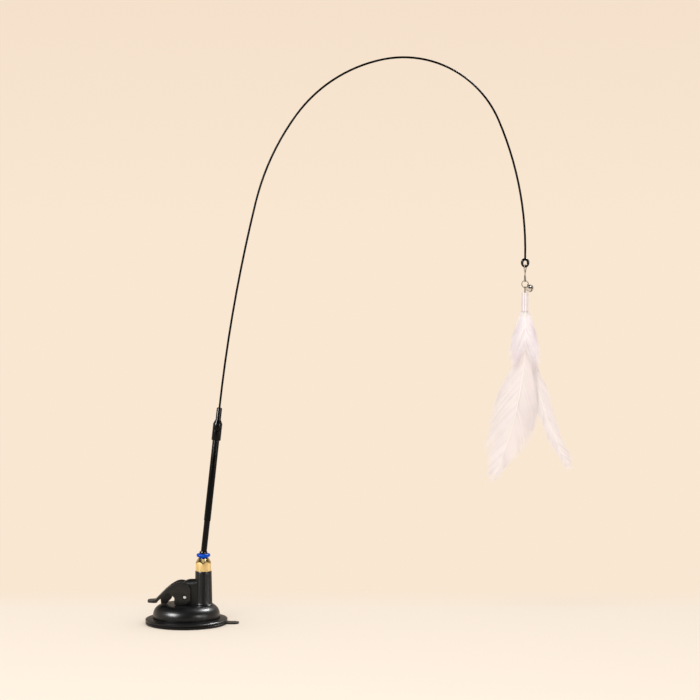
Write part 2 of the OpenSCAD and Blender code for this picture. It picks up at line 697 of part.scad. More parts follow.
module wire_coating() {
    color(colour_black) {
        on_rod(wire_foot) linear_extrude(neck_end - wire_foot - snug) ring_section(coat_r, core_r + 2 * snug);
        for (i = [0:len(wire_turns) - 1]) {
            joint(wire_state(i), core_r) ring_section(coat_r + snug, core_r + 3 * snug);
            bend(wire_state(i), wire_bend_r(i), wire_turns[i]) ring_section(coat_r, core_r + 2 * snug);
        }
    }
}
module ring_section(r_out, r_in) {
    difference() {
        circle(r_out);
        circle(r_in);
    }
}
tip = wire_state(len(wire_turns));
wire_tip = [tip[0], 0, tip[1]];
eye_mid = wire_tip + [0, 0, eye_seat - eye_stock_r - eye_bend_r - eye_side / 2];
eye_bar = eye_mid - [0, 0, eye_side / 2 + eye_bend_r];
module wire_eye() {
    color(colour_black) difference() {
        translate(eye_mid) for (s = [0, 180]) rotate([0, s, 0]) {
            translate([0, 0, eye_side / 2]) half_torus(eye_bend_r, eye_stock_r);
            translate([eye_bend_r, 0, -eye_side / 2]) cylinder(h = eye_side, r = eye_stock_r);
        }
        translate(wire_tip) cylinder(h = 2 * eye_seat, r = coat_r + snug);
    }
}

// Clip: a hairpin of wire whose legs cross above a small round eye
clip_top = eye_stock_r + clip_wire_r + hook_gap;
module clip() {
    shoulder = [clip_bend_r, 0, clip_top - clip_bend_r];
    cross = [0, 1.1 * clip_wire_r, -0.76 * clip_l];
    side = [clip_eye_r, 0, -clip_l];
    color(colour_steel) translate(eye_bar) rotate(clip_turn) {
        translate([0, 0, shoulder[2]]) half_torus(clip_bend_r, clip_wire_r);
        for (s = [0, 180]) rotate(s) {
            round_bar(shoulder, cross, clip_wire_r);
            round_bar(cross, [-side[0], 0, side[2]], clip_wire_r);
        }
        translate([0, 0, -clip_l]) rotate([90, 0, 0]) torus(clip_eye_r, clip_wire_r);
    }
}

// Split ring through the clip's eye, and the bell that hooks on it
ring_mid = eye_bar - [0, 0, clip_l + clip_eye_r - clip_wire_r - ring_wire_r - hook_gap + ring_r];
module in_ring() {
    translate(ring_mid) rotate(ring_turn) children();
}
module split_ring() {
    slit = 6;
    color(colour_steel) in_ring() rotate([90, 0, 0]) rotate(150) rotate_extrude(angle = 360 - slit)
        translate([ring_r, 0]) circle(ring_wire_r);
}
module in_bell() {
    in_ring() rotate([0, bell_hook, 0]) translate([ring_r, 0, 0]) rotate(-bell_side)
        rotate([0, bell_droop, 0]) translate([bell_drop, 0, 0]) rotate([0, -90, 0]) children();
}
bell_in = bell_r - bell_wall;
seam_t = bell_wall / 2;
module bell_crown(extra) {
    offset = bell_loop_r - ring_wire_r / cos(bell_droop) - bell_wire_r - hook_gap;
    in_bell() translate([0, 0, bell_drop - offset]) rotate([0, 90, 0])
        torus(bell_loop_r, bell_wire_r + extra);
}
module bell_loop() {
    color(colour_steel) bell_crown(0);
}
module bell_upper() {
    color(colour_steel) difference() {
        in_bell() difference() {
            union() {
                sphere(bell_r);
                cylinder(h = seam_t, r = bell_r + seam_t);
            }
            sphere(bell_in);
            translate([0, 0, -2 * bell_r]) cylinder(h = 2 * bell_r, r = 2 * bell_r);
        }
        bell_crown(snug);
    }
}
module bell_lower() {
    hole_x = 0.7 * bell_r;
    color(colour_steel) in_bell() difference() {
        union() {
            sphere(bell_r);
            translate([0, 0, -seam_t]) cylinder(h = seam_t, r = bell_r + seam_t);
        }
        sphere(bell_in);
        cylinder(h = 2 * bell_r, r = 2 * bell_r);
        translate([-hole_x, -bell_slot / 2, -bell_r - cut]) cube([2 * hole_x, bell_slot, bell_r]);
        for (s = [-1, 1]) translate([s * hole_x, 0, -bell_r - cut]) cylinder(h = bell_r, r = bell_slot * 0.8);
    }
}
function turn_z(p, a) = [p[0] * cos(a) - p[1] * sin(a), p[0] * sin(a) + p[1] * cos(a), p[2]];
function turn_y(p, a) = [p[0] * cos(a) + p[2] * sin(a), p[1], p[2] * cos(a) - p[0] * sin(a)];
hang = turn_z(turn_y([bell_drop, 0, 0], bell_droop), -bell_side);
bell_mid = ring_mid + turn_z(turn_y([ring_r, 0, 0] + hang, bell_hook), ring_turn);
module bell_ball() {
    color(colour_steel) translate(bell_mid - [0, 0, bell_in - ball_r - run_gap]) sphere(ball_r);
}

// Clear tube with the hanging loop, glued with a plug round the quills
loop_top = ring_mid[2] - ring_r + ring_wire_r + loop_wire_r + hook_gap;
tube_top = ring_mid[2] - ring_r - tube_hang;
tube_z = tube_top - tube_l;
bore_r = tube_r - tube_wall;
plug_z = tube_z + 0.18 * tube_l;
plug_top = tube_top - 0.14 * tube_l;
module in_tube(z) {
    translate([ring_mid[0], 0, z]) children();
}
module quill_loop() {
    color(colour_steel) in_tube(loop_top - loop_r) rotate(ring_turn + 90) {
        half_torus(loop_r, loop_wire_r);
        for (s = [-1, 1]) translate([s * loop_r, 0, -loop_leg]) cylinder(h = loop_leg, r = loop_wire_r);
    }
}
module quill_plug() {
    color(colour_vane) difference() {
        in_tube(plug_z) cylinder(h = plug_top - plug_z, r = bore_r - snug);
        for (s = [-1, 1]) in_tube(loop_top - loop_r - loop_leg - snug) rotate(ring_turn + 90)
            translate([s * loop_r, 0, 0]) cylinder(h = 2 * loop_leg, r = loop_wire_r + snug);
    }
}
module quill_tube() {
    color("#dfe4e6") in_tube(tube_z) difference() {
        cylinder(h = tube_l, r = tube_r);
        translate([0, 0, -cut]) cylinder(h = tube_l + 2 * cut, r = bore_r);
    }
}

// Feathers: each shaft is a curve from the quill, through a pull point, to the tip.
// Shafts are shares of the feather's length; vanes are [place, left, right] shares of its width.
long_shaft_shares = [[0, -0.01], [0.026, -0.494], [-0.185, -0.99]];
side_shaft_shares = [[0, -0.01], [0.051, -0.569], [0.292, -0.998]];
back_shaft_shares = [[0, -0.01], [-0.007, -0.534], [0.103, -0.985]];
long_vane_shares = [
    [0, 0.005, 0.005], [0.1, 0.14, 0.14], [0.25, 0.34, 0.3], [0.4, 0.56, 0.55], [0.47, 0.8, 0.7],
    [0.54, 0.99, 0.86], [0.65, 0.97, 0.88], [0.78, 0.84, 0.75], [0.88, 0.52, 0.52],
    [0.95, 0.26, 0.3], [1, 0.05, 0.05]];
side_vane_shares = [
    [0, 0.01, 0.01], [0.15, 0.32, 0.45], [0.3, 0.5, 0.76], [0.5, 0.62, 0.92], [0.7, 0.6, 0.97],
    [0.8, 0.52, 0.95], [0.9, 0.38, 0.78], [0.97, 0.2, 0.42], [1, 0.06, 0.08]];
back_vane_shares = [
    [0, 0.01, 0.01], [0.12, 0.27, 0.27], [0.3, 0.6, 0.6], [0.5, 0.9, 0.9], [0.7, 1, 1],
    [0.85, 0.85, 0.85], [0.95, 0.5, 0.5], [1, 0.08, 0.08]];
down_shares = [
    [0, 0.08, 0.08], [0.05, 0.3, 0.3], [0.2, 0.56, 0.5], [0.45, 0.84, 0.84], [0.7, 1, 1],
    [0.88, 0.95, 0.92], [1, 0.62, 0.6]];
vane_span_share = [0.04, 1];
shaft_span_share = [0.03, 0.94];
quill_foot_share = 0.06;
quill_seat_shares = [[0, -0.62], [0, 0.62], [0, 0], [-0.56, -0.27], [-0.56, 0.27]];
function between(span, s) = span[0] + (span[1] - span[0]) * s;
function curve(p, t) = (1 - t) * (1 - t) * p[0] + 2 * t * (1 - t) * p[1] + t * t * p[2];
function curve_left(p, t) =
    let (d = unit2((1 - t) * (p[1] - p[0]) + t * (p[2] - p[1]))) [d[1], -d[0]];
function share_at(table, t, side) =
    let (keys = [for (row = table) [row[0], row[side]]], h = 0.03)
    (lookup(t - h, keys) + 2 * lookup(t, keys) + lookup(t + h, keys)) / 4;
function vane(p, table, w, span = vane_span_share, n = 28) = concat(
    [for (i = [0:n]) let (t = between(span, i / n))
        curve(p, t) + curve_left(p, t) * w * share_at(table, t, 1)],
    [for (i = [n:-1:0]) let (t = between(span, i / n))
        curve(p, t) - curve_left(p, t) * w * share_at(table, t, 2)]);
function shaft(p, r, n = 20) = concat(
    [for (i = [0:n]) let (t = between(shaft_span_share, i / n))
        curve(p, t) + curve_left(p, t) * r * (1 - 0.6 * t)],
    [for (i = [n:-1:0]) let (t = between(shaft_span_share, i / n))
        curve(p, t) - curve_left(p, t) * r * (1 - 0.6 * t)]);
module plate(y, t) {
    in_tube(tube_z) translate([0, y + t / 2, 0]) rotate([90, 0, 0]) linear_extrude(t) children();
}
module quill(seat_share, foot) {
    seat = bore_r * seat_share;
    in_tube(tube_z) {
        bar(foot, [seat[0], seat[1], 0.08 * tube_l], quill_r);
        translate([seat[0], seat[1], 0.08 * tube_l]) cylinder(h = 0.08 * tube_l, r = quill_r);
        translate([seat[0], seat[1], 0.08 * tube_l]) sphere(quill_r + snug);
    }
}
module feather(shares, table, l, w, y, seat) {
    p = l * shares;
    foot = curve(p, quill_foot_share);
    color(colour_vane) {
        plate(y, vane_t) polygon(vane(p, table, w));
        plate(y, vane_t + 1.3 * quill_r) polygon(shaft(p, 1.25 * quill_r));
        quill(seat, [foot[0], y, foot[1]]);
    }
}
module feather_long() {
    feather(long_shaft_shares, long_vane_shares, long_l, long_w, -layer_step, quill_seat_shares[0]);
}
module feather_side() {
    feather(side_shaft_shares, side_vane_shares, side_l, side_w, layer_step, quill_seat_shares[1]);
}
module feather_back() {
    feather(back_shaft_shares, back_vane_shares, back_l, back_w, 0, quill_seat_shares[2]);
}
module down(y, seat) {
    p = down_l * [[0, -0.02], [0, -0.5], [0, -1]];
    lobes = 6;
    edge = vane(p, down_shares, down_w, [0, 1], 36);
    color(colour_vane) {
        plate(y, down_t) polygon([for (i = [0:len(edge) - 1])
            edge[i] * (1 + 0.03 * cos(i * 360 * lobes / len(edge)))]);
        quill(seat, [bore_r * seat[0] / 2, y * 0.9, -0.14 * down_l]);
    }
}
module down_front() {
    down(-layer_step - vane_t - down_t / 2 - rest_gap, quill_seat_shares[3]);
}
module down_rear() {
    down(layer_step + vane_t + down_t / 2 + rest_gap, quill_seat_shares[4]);
}

suction_cup();
housing();
stem();
stem_disc();
return_spring();
lever_pin();
lever();
fitting_body();
o_ring();
grip_ring();
release_collar();
collar_liner();
rod();
shrink_sleeve();
ferrule_socket();
ferrule_cap();
wire_core();
wire_coating();
wire_eye();
clip();
split_ring();
bell_upper();
bell_lower();
bell_loop();
bell_ball();
quill_loop();
quill_plug();
quill_tube();
feather_long();
feather_side();
feather_back();
down_front();
down_rear();
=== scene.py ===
"""Dresses a cat teaser wand: a lever suction base, a push-in fitting, a sprung wand and a feather lure."""

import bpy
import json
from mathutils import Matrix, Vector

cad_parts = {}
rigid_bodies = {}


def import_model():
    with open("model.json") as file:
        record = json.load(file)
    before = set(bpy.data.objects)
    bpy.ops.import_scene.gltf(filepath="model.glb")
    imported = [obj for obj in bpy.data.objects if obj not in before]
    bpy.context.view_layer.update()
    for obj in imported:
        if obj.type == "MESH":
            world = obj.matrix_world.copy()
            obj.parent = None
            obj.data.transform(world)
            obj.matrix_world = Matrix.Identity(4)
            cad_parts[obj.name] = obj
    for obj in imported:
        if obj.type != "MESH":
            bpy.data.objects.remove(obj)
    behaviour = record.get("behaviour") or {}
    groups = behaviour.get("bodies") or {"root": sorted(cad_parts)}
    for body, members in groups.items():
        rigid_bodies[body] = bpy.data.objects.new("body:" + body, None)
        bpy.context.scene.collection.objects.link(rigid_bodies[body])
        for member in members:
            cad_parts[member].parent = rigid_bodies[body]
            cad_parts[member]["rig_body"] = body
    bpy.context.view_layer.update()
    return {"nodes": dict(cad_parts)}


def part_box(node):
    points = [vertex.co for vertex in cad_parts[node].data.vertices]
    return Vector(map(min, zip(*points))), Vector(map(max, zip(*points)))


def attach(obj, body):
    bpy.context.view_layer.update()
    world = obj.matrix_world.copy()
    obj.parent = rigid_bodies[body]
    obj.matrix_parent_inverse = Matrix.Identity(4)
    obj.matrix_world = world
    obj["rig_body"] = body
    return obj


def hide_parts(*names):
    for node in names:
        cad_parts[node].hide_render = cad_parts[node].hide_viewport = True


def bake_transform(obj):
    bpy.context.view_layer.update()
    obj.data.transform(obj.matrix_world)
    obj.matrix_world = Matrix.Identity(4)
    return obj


bl_info = {
    "name": "Cat Teaser Wand",
    "version": (1, 0, 0),
    "blender": (4, 5, 0),
    "location": "View3D > Sidebar > Teaser Wand",
    "description": "Makes the finishes, the feathers and the stage of a cat teaser wand",
    "category": "Object",
}

import json
import math

import bmesh
import bpy
from mathutils import Vector

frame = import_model()
MM = 0.001


def srgb(code, alpha=1.0):
    """Turns a colour such as #1C1C1E into the linear values that a shader socket takes."""
    parts = [int(code[i:i + 2], 16) / 255 for i in (1, 3, 5)]
    return [c / 12.92 if c <= 0.04045 else ((c + 0.055) / 1.055) ** 2.4 for c in parts] + [alpha]


# What a user would change

class WandFinish(bpy.types.PropertyGroup):
    housing_black: bpy.props.FloatVectorProperty(
        name="Housing black", description="Colour of the moulded housing",
        subtype="COLOR", size=4, min=0, max=1, default=srgb("#0A0A0B"))
    lever_black: bpy.props.FloatVectorProperty(
        name="Lever black", description="Colour of the moulded lever",
        subtype="COLOR", size=4, min=0, max=1, default=srgb("#1D1B19"))
    brass_yellow: bpy.props.FloatVectorProperty(
        name="Brass", description="Colour of the turned brass fitting",
        subtype="COLOR", size=4, min=0, max=1, default=srgb("#F9DA9C"))
    collar_blue: bpy.props.FloatVectorProperty(
        name="Collar blue", description="Colour of the release collar",
        subtype="COLOR", size=4, min=0, max=1, default=srgb("#0249C0"))
    vane_white: bpy.props.FloatVectorProperty(
        name="Feather white", description="Colour of the feathers' barbs",
        subtype="COLOR", size=4, min=0, max=1, default=srgb("#E8E0E0"))
    edge_round: bpy.props.FloatProperty(
        name="Edge round", description="Radius of the moulded edges",
        unit="LENGTH", min=0.05 * MM, max=0.6 * MM, default=0.3 * MM)
    collar_head: bpy.props.FloatProperty(
        name="Collar head", description="Height of the release collar's round head",
        unit="LENGTH", min=1.8 * MM, max=2.2 * MM, default=2.14 * MM)
    eye_coat: bpy.props.FloatProperty(
        name="Eye lacquer", description="Thickness of the lacquer on the wire's eye",
        unit="LENGTH", min=0, max=0.25 * MM, default=0.2 * MM)
    wire_coat: bpy.props.FloatProperty(
        name="Wire coat", description="Thickness of the outermost coat on the long wire",
        unit="LENGTH", min=0, max=0.12 * MM, default=0.1 * MM)


class WandPlumage(bpy.types.PropertyGroup):
    long_l: bpy.props.FloatProperty(
        name="Long feather", description="Length of the long feather",
        unit="LENGTH", min=0.09, max=0.13, default=0.115)
    long_w: bpy.props.FloatProperty(
        name="Long vane", description="Width of the long feather's vane on each side",
        unit="LENGTH", min=0.01, max=0.018, default=0.0155)
    side_l: bpy.props.FloatProperty(
        name="Side feather", description="Length of the side feather",
        unit="LENGTH", min=0.08, max=0.12, default=0.106)
    side_w: bpy.props.FloatProperty(
        name="Side vane", description="Width of the side feather's vane on each side",
        unit="LENGTH", min=0.004, max=0.008, default=0.0064)
    back_l: bpy.props.FloatProperty(
        name="Back feather", description="Length of the back feather",
        unit="LENGTH", min=0.06, max=0.095, default=0.082)
    back_w: bpy.props.FloatProperty(
        name="Back vane", description="Width of the back feather's vane on each side",
        unit="LENGTH", min=0.005, max=0.01, default=0.008)
    down_l: bpy.props.FloatProperty(
        name="Down", description="Length of the down at the quills",
        unit="LENGTH", min=0.03, max=0.05, default=0.040)
    down_w: bpy.props.FloatProperty(
        name="Down width", description="Width of the down on each side",
        unit="LENGTH", min=0.006, max=0.011, default=0.0097)
    layer_step: bpy.props.FloatProperty(
        name="Layer step", description="Distance from one feather to the next",
        unit="LENGTH", min=0.0013, max=0.0018, default=0.0015)
    quill_r: bpy.props.FloatProperty(
        name="Quill radius", description="Radius of a quill where it enters the tube",
        unit="LENGTH", min=0.0003, max=0.0005, default=0.00042)
    seed: bpy.props.IntProperty(
        name="Seed", description="Fixes the scatter of the barbs", min=0, max=999, default=7)


class WandStage(bpy.types.PropertyGroup):
    camera_place: bpy.props.FloatVectorProperty(
        name="Camera place", description="Where the camera stands",
        subtype="TRANSLATION", unit="LENGTH", size=3, default=(0.10938, -1.5, 0.266))
    camera_pitch: bpy.props.FloatProperty(
        name="Camera pitch", description="How far the camera looks down",
        subtype="ANGLE", min=0, max=math.radians(30), default=math.radians(3.165))
    camera_lens: bpy.props.FloatProperty(
        name="Lens", description="Focal length in millimetres on a 36 mm sensor",
        min=20, max=300, default=116.23)
    backdrop: bpy.props.FloatVectorProperty(
        name="Backdrop", description="Cream of the paper behind the object",
        subtype="COLOR", size=4, min=0, max=1, default=srgb("#F9E7D2"))
    floor: bpy.props.FloatVectorProperty(
        name="Floor", description="Cream of the paper under the object",
        subtype="COLOR", size=4, min=0, max=1, default=srgb("#FCEFE0"))


# Small tools

def settings():
    """Gives the scene's three groups of sizes and colours."""
    scene = bpy.context.scene
    return scene.wand_finish, scene.wand_plumage, scene.wand_stage


def add(tree, kind, inputs=None, **options):
    """Adds one node: options are its own settings, inputs are values, sockets or nodes by name or number."""
    node = tree.nodes.new(kind)
    for name, value in options.items():
        setattr(node, name, value)
    for key, value in (inputs or {}).items():
        if isinstance(value, bpy.types.Node):
            value = value.outputs[0]
        if isinstance(value, bpy.types.NodeSocket):
            tree.links.new(value, node.inputs[key])
        else:
            node.inputs[key].default_value = value
    return node


def new_material(name):
    """Starts a material: gives it, its tree, its shader and its Object coordinates."""
    material = bpy.data.materials.new(name)
    material.use_nodes = True
    tree = material.node_tree
    shader = tree.nodes["Principled BSDF"]
    place = add(tree, "ShaderNodeTexCoord").outputs["Object"]
    return material, tree, shader, place


def set_sockets(shader, **values):
    """Sets a shader's own sockets: base_color stands for Base Color."""
    for name, value in values.items():
        words = name.replace("_", " ").title().replace("Ior", "IOR")
        shader.inputs[words].default_value = value


def per_mm(size_mm):
    """Scale of a noise whose grains are this many millimetres wide."""
    return 1 / (size_mm * MM)


def waves_apart(size_mm):
    """Scale of a wave texture whose lines are this many millimetres apart: it runs 20 radians in a unit."""
    return math.tau / (20 * size_mm * MM)


def grain(tree, shader, place, grain_mm, depth_mm, rough):
    """Gives a surface its fine grain: a bump of a real size and depth, and roughness that wanders between
    two limits over patches many grains wide. Gives the patches' noise."""
    patch_grains = 40
    noise = add(tree, "ShaderNodeTexNoise", {"Vector": place, "Scale": per_mm(grain_mm), "Detail": 2.0})
    bump = add(tree, "ShaderNodeBump", {"Height": noise, "Distance": depth_mm * MM, "Strength": 1.0})
    tree.links.new(bump.outputs[0], shader.inputs["Normal"])
    wide = add(tree, "ShaderNodeTexNoise", {
        "Vector": place, "Scale": per_mm(grain_mm * patch_grains), "Detail": 3.0})
    spread = add(tree, "ShaderNodeMapRange", {
        "Value": wide, "From Min": 0.3, "From Max": 0.7, "To Min": rough[0], "To Max": rough[1]})
    tree.links.new(spread.outputs[0], shader.inputs["Roughness"])
    return wide


def tint(tree, shader, factor, dark, light):
    """Lets the base colour wander between two shades, by a Mix node's colour sockets: 6, 7 and output 2."""
    mixed = add(tree, "ShaderNodeMix", {0: factor, 6: dark, 7: light}, data_type="RGBA")
    tree.links.new(mixed.outputs[2], shader.inputs["Base Color"])


def shade(colour, share):
    """A colour made darker or lighter by a share."""
    return [min(1.0, c * share) for c in colour[:3]] + [1.0]


def linked(name, data):
    """Puts a new object with this data in the scene."""
    obj = bpy.data.objects.new(name, data)
    bpy.context.scene.collection.objects.link(obj)
    return obj


def drop_attributes(mesh, names):
    """Takes these stored attributes off a mesh, where it has them."""
    for name in names:
        layer = mesh.attributes.get(name)
        if layer:
            mesh.attributes.remove(layer)


def settled(obj):
    """Turns an object's modifiers into its mesh."""
    depsgraph = bpy.context.evaluated_depsgraph_get()
    mesh = bpy.data.meshes.new_from_object(obj.evaluated_get(depsgraph))
    obj.modifiers.clear()
    obj.data = mesh
    return obj


def dressed(node, piece, material, round_edge=0.0, crisp=30.0, rides=True):
    """Makes a merged copy of a CAD node with round edges and smooth faces, which stands for it. It rides on
    the node's body, unless rides is false."""
    merge = 0.001 * MM
    flat = math.radians(0.6)
    source = frame["nodes"][node]
    shape = bmesh.new()
    shape.from_mesh(source.data)
    bmesh.ops.remove_doubles(shape, verts=shape.verts, dist=merge)
    bmesh.ops.dissolve_degenerate(shape, edges=shape.edges, dist=merge)
    if round_edge:
        bmesh.ops.dissolve_limit(shape, angle_limit=flat, verts=shape.verts, edges=shape.edges)
    mesh = bpy.data.meshes.new(piece)
    shape.to_mesh(mesh)
    shape.free()
    drop_attributes(mesh, ("custom_normal", "UVMap"))
    mesh.materials.clear()
    mesh.materials.append(material)
    obj = linked(piece, mesh)
    if round_edge:
        bevel = obj.modifiers.new("round", "BEVEL")
        bevel.width = round_edge
        bevel.segments = 2
        bevel.limit_method = "ANGLE"
        bevel.angle_limit = math.radians(crisp)
        bevel.use_clamp_overlap = True
        settled(obj)
    obj.data.shade_smooth()
    obj.data.set_sharp_from_angle(angle=math.radians(crisp))
    if rides:
        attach(obj, source["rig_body"])
    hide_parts(node)
    return obj


def turned(node, piece, material, outline):
    """Turns a closed outline of radii and heights round the upright axis of the CAD node it stands for."""
    turns = 72
    crisp = math.radians(40)
    low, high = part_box(node)
    middle = 0.5 * (low + high)
    shape = bmesh.new()
    rings = [[shape.verts.new((
        middle.x + r * math.cos(math.tau * i / turns), middle.y + r * math.sin(math.tau * i / turns), z))
        for r, z in outline] for i in range(turns)]
    for ring, after in zip(rings, rings[1:] + rings[:1]):
        for j in range(len(outline)):
            shape.faces.new((ring[j - 1], after[j - 1], after[j], ring[j]))
    bmesh.ops.recalc_face_normals(shape, faces=shape.faces)
    mesh = bpy.data.meshes.new(piece)
    shape.to_mesh(mesh)
    shape.free()
    mesh.materials.append(material)
    mesh.shade_smooth()
    mesh.set_sharp_from_angle(angle=crisp)
    obj = linked(piece, mesh)
    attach(obj, frame["nodes"][node]["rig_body"])
    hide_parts(node)
    return obj


def painted(node, material):
    """Gives a CAD node its material and leaves its shape alone."""
    mesh = frame["nodes"][node].data
    mesh.materials.clear()
    mesh.materials.append(material)
    mesh.shade_smooth()


# Finishes

def grained(name, grain_mm, depth_mm, rough, dark, light, **sockets):
    """Makes a finish with a fine grain, whose shade and roughness wander together between their limits."""
    material, tree, shader, place = new_material(name)
    tint(tree, shader, grain(tree, shader, place, grain_mm, depth_mm, rough), dark, light)
    set_sockets(shader, **sockets)
    return material


def moulded_abs(name, base, rough, level):
    """Moulded ABS with a fine spark-eroded skin: a soft black that blurs the lights."""
    return grained(name, grain_mm=0.18, depth_mm=0.006, rough=rough, dark=shade(base, 0.8),
                   light=shade(base, 1.25), ior=1.5, specular_ior_level=level)


def pressed_rubber():
    """Pressed PVC rubber: close to the ABS in tone, wetter at its rim, with dust held in faint patches."""
    return grained("pressed_rubber", grain_mm=0.35, depth_mm=0.008, rough=(0.26, 0.4), dark=srgb("#090909"),
                   light=srgb("#12110F"), ior=1.45, specular_ior_level=0.2)


def turned_brass(base):
    """Turned brass: fine lathe lines round the axis and drawn flats, which spread a highlight sideways."""
    material, tree, shader, place = new_material("turned_brass")
    lines = add(tree, "ShaderNodeTexWave", {
        "Vector": place, "Scale": waves_apart(0.32), "Distortion": 0.6, "Detail": 1.0},
        wave_type="BANDS", bands_direction="Z")
    specks = add(tree, "ShaderNodeTexNoise", {"Vector": place, "Scale": per_mm(0.3), "Detail": 3.0})
    upright = add(tree, "ShaderNodeVectorMath", {0: place, 1: (1, 1, 0.1)}, operation="MULTIPLY")
    drawn = add(tree, "ShaderNodeTexNoise", {"Vector": upright, "Scale": per_mm(2.4), "Detail": 2.0})
    streaks = add(tree, "ShaderNodeMapRange", {"Value": drawn, "From Min": 0.36, "From Max": 0.64})
    height = add(tree, "ShaderNodeMath", {0: lines, 1: specks}, operation="ADD")
    bump = add(tree, "ShaderNodeBump", {"Height": height, "Distance": 0.004 * MM, "Strength": 0.6})
    tree.links.new(bump.outputs[0], shader.inputs["Normal"])
    spread = add(tree, "ShaderNodeMapRange", {"Value": specks, "To Min": 0.14, "To Max": 0.26})
    tree.links.new(spread.outputs[0], shader.inputs["Roughness"])
    tint(tree, shader, streaks, shade(base, 0.78), shade(base, 1.12))
    set_sockets(shader, metallic=1.0)
    return material


def acetal(base):
    """Moulded acetal: a dense, slightly waxy blue with a soft gloss."""
    return grained("moulded_acetal", grain_mm=0.25, depth_mm=0.003, rough=(0.2, 0.3), dark=shade(base, 0.85),
                   light=shade(base, 1.1), ior=1.48, specular_ior_level=0.08)


def drawn_metal(name, tone, rough):
    """Drawn and plated steel: a grey mirror broken by fine drawing marks."""
    return grained(name, grain_mm=0.12, depth_mm=0.001, rough=rough, dark=shade(srgb(tone), 0.9),
                   light=srgb(tone), metallic=1.0)


def black_skin(name, tone, rough, level):
    """A smooth black skin, such as lacquer, shrunk sleeve or nylon: deep, with one long streak of light."""
    return grained(name, grain_mm=0.3, depth_mm=0.0008, rough=rough, dark=shade(srgb(tone), 0.8),
                   light=shade(srgb(tone), 1.2), ior=1.5, specular_ior_level=level)


def soft_vinyl():
    """Clear vinyl tube, gone milky, with a lilac cast. Faint painted shade lines stand in for the quills
    inside showing through.
    """
    material, tree, shader, place = new_material("soft_vinyl")
    grain(tree, shader, place, grain_mm=0.5, depth_mm=0.002, rough=(0.16, 0.3))
    # Painted shade: faint darker upright lines where the quills inside the tube would show through
    lines = add(tree, "ShaderNodeTexWave", {
        "Vector": place, "Scale": waves_apart(1.6), "Distortion": 0.4, "Detail": 1.0, "Phase Offset": -1.36},
        wave_type="BANDS", bands_direction="X")
    faint = add(tree, "ShaderNodeMapRange", {"Value": lines, "From Min": 0.72, "From Max": 0.97},
                interpolation_type="SMOOTHSTEP")
    tint(tree, shader, faint, srgb("#F8F2F5"), srgb("#DCCDD3"))
    set_sockets(shader, ior=1.15, transmission_weight=0.12, specular_ior_level=0.3)
    return material


def hot_glue():
    """Set hot glue: a cloudy white filling with a soft surface."""
    return grained("hot_glue", grain_mm=0.6, depth_mm=0.01, rough=(0.3, 0.45), dark=srgb("#F6F0F3"),
                   light=srgb("#FFFCFD"), ior=1.2, transmission_weight=0.6, specular_ior_level=0.2)


def feather_keratin(name, light, dark, rough):
    """Feather keratin: matt white barbs, each a shade of its own, so that the vane shows its fine strands. A
    faint painted glow in the barbs' own colour lightens their shade; it stands in for the light that soaks
    through barbs too thin to hold it back."""
    material, tree, shader, place = new_material(name)
    tone = add(tree, "ShaderNodeAttribute", attribute_name="tone")
    streaks = add(tree, "ShaderNodeMapRange", {
        "Value": tone.outputs["Fac"], "From Min": 0.35, "From Max": 0.75}, interpolation_type="SMOOTHSTEP")
    drift = add(tree, "ShaderNodeTexNoise", {"Vector": place, "Scale": per_mm(9), "Detail": 2.0})
    patches = add(tree, "ShaderNodeMapRange", {
        "Value": drift, "From Min": 0.3, "From Max": 0.65, "To Min": 0.25})
    both = add(tree, "ShaderNodeMath", {0: streaks, 1: patches}, operation="MULTIPLY")
    colour = add(tree, "ShaderNodeMix", {0: both, 6: light, 7: dark}, data_type="RGBA").outputs[2]
    tree.links.new(colour, shader.inputs["Base Color"])
    # Painted glow: the barbs' own colour is given out faintly as light, which lightens their shaded parts
    tree.links.new(colour, shader.inputs["Emission Color"])
    set_sockets(shader, roughness=rough, ior=1.5, specular_ior_level=0.15, sheen_weight=0.1,
                emission_strength=0.06)
    return material


def quill_horn():
    """Horn of the quill: a warmer, smoother white than the barbs, with a thin line of gloss."""
    return grained("quill_horn", grain_mm=0.4, depth_mm=0.003, rough=(0.28, 0.4), dark=srgb("#F6EDE6"),
                   light=srgb("#FFFAF6"), ior=1.5, specular_ior_level=0.4, subsurface_weight=0.2,
                   subsurface_scale=1.0 * MM)


# Feathers

LONG_SHAFT_SHARES = ((0, -0.01), (0.026, -0.494), (-0.185, -0.99))
SIDE_SHAFT_SHARES = ((0, -0.01), (0.051, -0.569), (0.292, -0.998))
BACK_SHAFT_SHARES = ((0, -0.01), (-0.007, -0.534), (0.05, -0.985))
DOWN_SHAFT_SHARES = ((0, -0.01), (0, -0.3), (0, -0.98))
LONG_LEFT_SHARES = ((0, 0.1), (0.1, 0.15), (0.25, 0.3), (0.32, 0.43), (0.38, 0.6), (0.48, 0.9),
                    (0.55, 0.98), (0.62, 0.98), (0.72, 0.92), (0.81, 0.88), (0.87, 0.66), (0.92, 0.46),
                    (0.98, 0.27), (1, 0.05))
LONG_RIGHT_SHARES = ((0, 0.1), (0.1, 0.15), (0.25, 0.3), (0.4, 0.58), (0.49, 0.82), (0.57, 0.95),
                     (0.63, 0.98), (0.72, 0.91), (0.8, 0.69), (0.88, 0.37), (0.93, 0.23), (0.98, 0.09),
                     (1, 0.04))
SIDE_LEFT_SHARES = ((0, 0.1), (0.15, 0.32), (0.3, 0.5), (0.5, 0.7), (0.61, 0.84), (0.7, 0.68),
                    (0.77, 0.77), (0.81, 0.72), (0.86, 0.55), (0.91, 0.45), (0.97, 0.34), (1, 0.05))
SIDE_RIGHT_SHARES = ((0, 0.1), (0.15, 0.32), (0.3, 0.5), (0.4, 0.63), (0.52, 1), (0.6, 0.9),
                     (0.73, 0.82), (0.82, 0.62), (0.87, 0.63), (0.92, 0.73), (0.95, 0.64), (0.99, 0.16),
                     (1, 0.05))
